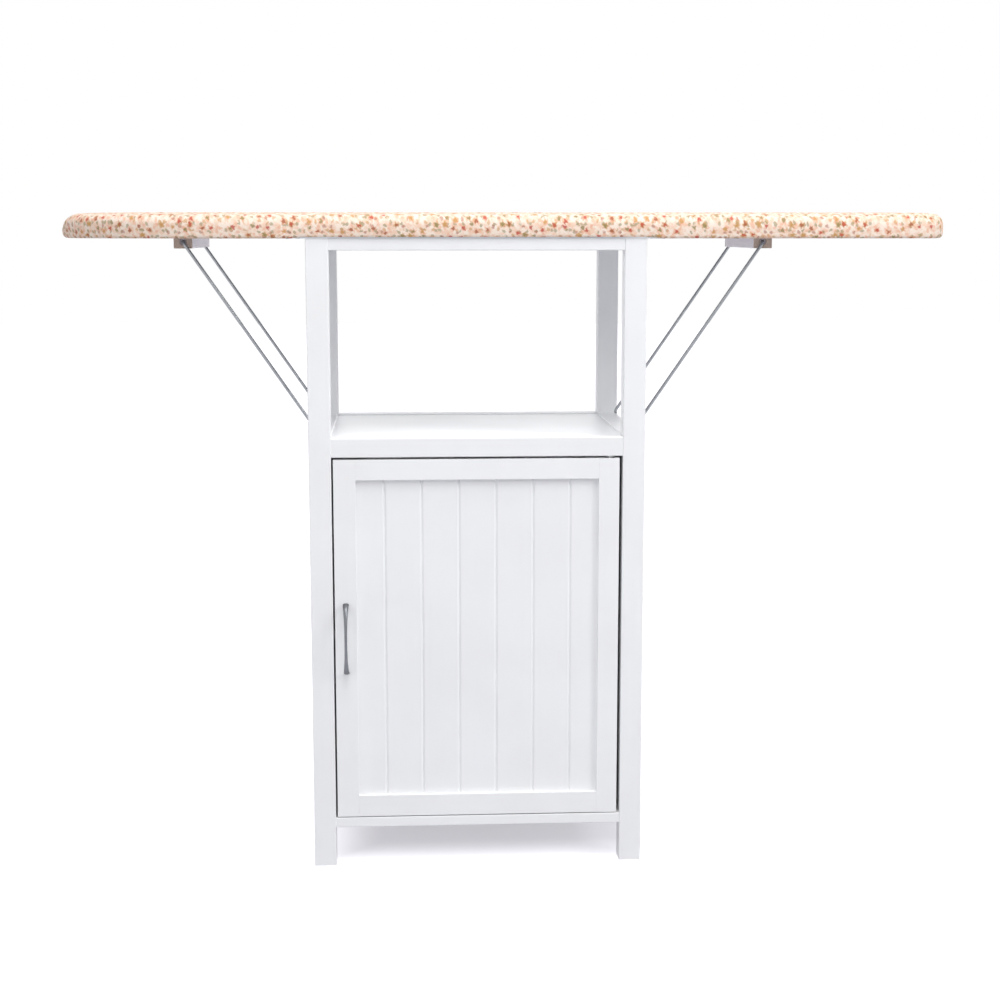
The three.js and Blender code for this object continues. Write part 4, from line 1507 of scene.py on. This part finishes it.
class CABINET_OT_stage(bpy.types.Operator):
    """Sets up the white floor, the softboxes and the camera"""

    bl_idname = "cabinet.stage"
    bl_label = "Studio Stage"

    def execute(self, context):
        self.floor()
        self.world()
        for lamp in LAMPS:
            self.softbox(*lamp)
        self.camera()
        context.scene.view_settings.view_transform = "Standard"
        return {"FINISHED"}

    def floor(self):
        """A wide floor whose camera-only glow shows it pure white, painting light over the lamps'
        shadows away from the cabinet, while a weaker glow keeps the shadow under it.
        """
        deselect()
        bpy.ops.mesh.primitive_plane_add(size=FLOOR_REACH * 2, location=(0, 0, 0))
        floor = started("studio_floor")
        finish = Finish("Studio Floor", Roughness=0.9)
        path = finish.node("ShaderNodeLightPath")
        seen = [Wire(finish, path.socket.node.outputs[name]) for name in UNLIT_RAYS]
        shown = (seen[0] + seen[1]).maths("ADD", seen[2], clamp=True)
        place = finish.place()
        grain = finish.noise(place, 3.0, 2.0, 0.5)
        x, y, _ = finish.axes(place)
        # Painted light: beyond the cabinet's footprint the glow rises to full white and paints out
        # the shadows the lamps cast there; its slight blue tint cools the kept shadow under the
        # cabinet.
        away = (abs(x) - SHADOW_REACH.x).maths("MAXIMUM", abs(y) - SHADOW_REACH.y)
        glow = finish.ease(away, 0.0, SHADOW_FADE, FLOOR_GLOW, 1.0) * shown
        finish.wear(
            Base_Color=finish.blend(grain * 0.1, FLOOR_GREY, FLOOR_GRAIN),
            Emission_Color=finish.vector(glow, glow * 0.985, glow * 1.03),
        )
        finish.surface.inputs["Emission Strength"].default_value = 1.0
        finish.surface.inputs["Specular IOR Level"].default_value = 0.0
        floor.data.materials.append(finish.material)

    def world(self):
        """Even daylight for the object, with pure white behind it."""
        world = bpy.data.worlds.new("Studio")
        bpy.context.scene.world = world
        world.use_nodes = True
        tree = world.node_tree
        tree.nodes.clear()
        path = tree.nodes.new("ShaderNodeLightPath")
        light, white = (tree.nodes.new("ShaderNodeBackground") for _ in range(2))
        light.inputs["Color"].default_value = (*SKY_COLOUR, 1)
        light.inputs["Strength"].default_value = SKY_LIGHT
        white.inputs["Color"].default_value = (1, 1, 1, 1)
        shown = path.outputs[UNLIT_RAYS[0]]
        for name in UNLIT_RAYS[1:]:
            either = tree.nodes.new("ShaderNodeMath")
            either.operation = "MAXIMUM"
            tree.links.new(shown, either.inputs[0])
            tree.links.new(path.outputs[name], either.inputs[1])
            shown = either.outputs[0]
        choice = tree.nodes.new("ShaderNodeMixShader")
        output = tree.nodes.new("ShaderNodeOutputWorld")
        for number, socket in enumerate((shown, light.outputs[0], white.outputs[0])):
            tree.links.new(socket, choice.inputs[number])
        tree.links.new(choice.outputs[0], output.inputs["Surface"])

    def softbox(self, name, place, target, size, power):
        deselect()
        bpy.ops.object.light_add(type="AREA", location=place)
        lamp = bpy.context.object
        lamp.name = name
        lamp.data.size = size
        lamp.data.energy = power
        lamp.rotation_euler = (Vector(target) - Vector(place)).to_track_quat("-Z", "Y").to_euler()

    def camera(self):
        deselect()
        turn = (math.radians(CAMERA_PITCH), 0, math.radians(CAMERA_YAW))
        bpy.ops.object.camera_add(location=CAMERA_PLACE, rotation=turn)
        camera = bpy.context.object
        camera.name = "Studio Camera"
        camera.data.lens = CAMERA_LENS
        camera.data.sensor_width = 36.0
        bpy.context.scene.camera = camera


# ---- panel and start

STEPS = (
    CABINET_OT_timber_finish,
    CABINET_OT_hardware_finish,
    CABINET_OT_board_cover,
    CABINET_OT_door_panel,
    CABINET_OT_bow_handle,
    CABINET_OT_wire_stays,
    CABINET_OT_small_fixings,
    CABINET_OT_stage,
)


class CABINET_PT_sidebar(bpy.types.Panel):
    """Lists the cabinet's pieces in the 3D view's sidebar"""

    bl_label = "Ironing Board Cabinet"
    bl_idname = "CABINET_PT_sidebar"
    bl_space_type = "VIEW_3D"
    bl_region_type = "UI"
    bl_category = "Cabinet"

    def draw(self, context):
        layout = self.layout
        for step in STEPS:
            layout.operator(step.bl_idname)
        for group in ("cover", "paint", "hardware", "door"):
            box = layout.box()
            values = getattr(settings(), group)
            for name in values.bl_rna.properties.keys():
                if name not in ("rna_type", "name"):
                    box.prop(values, name)


GROUPS = (
    CabinetCoverSettings,
    CabinetPaintSettings,
    CabinetHardwareSettings,
    CabinetDoorSettings,
    CabinetSettings,
)


def register():
    for each in (*GROUPS, *STEPS, CABINET_PT_sidebar):
        bpy.utils.register_class(each)
    bpy.types.Scene.ironing_cabinet = bpy.props.PointerProperty(type=CabinetSettings)


def unregister():
    del bpy.types.Scene.ironing_cabinet
    for each in reversed((*GROUPS, *STEPS, CABINET_PT_sidebar)):
        bpy.utils.unregister_class(each)


def main():
    register()
    for step in STEPS:
        family, name = step.bl_idname.split(".")
        getattr(getattr(bpy.ops, family), name)()


if __name__ == "__main__":
    main()
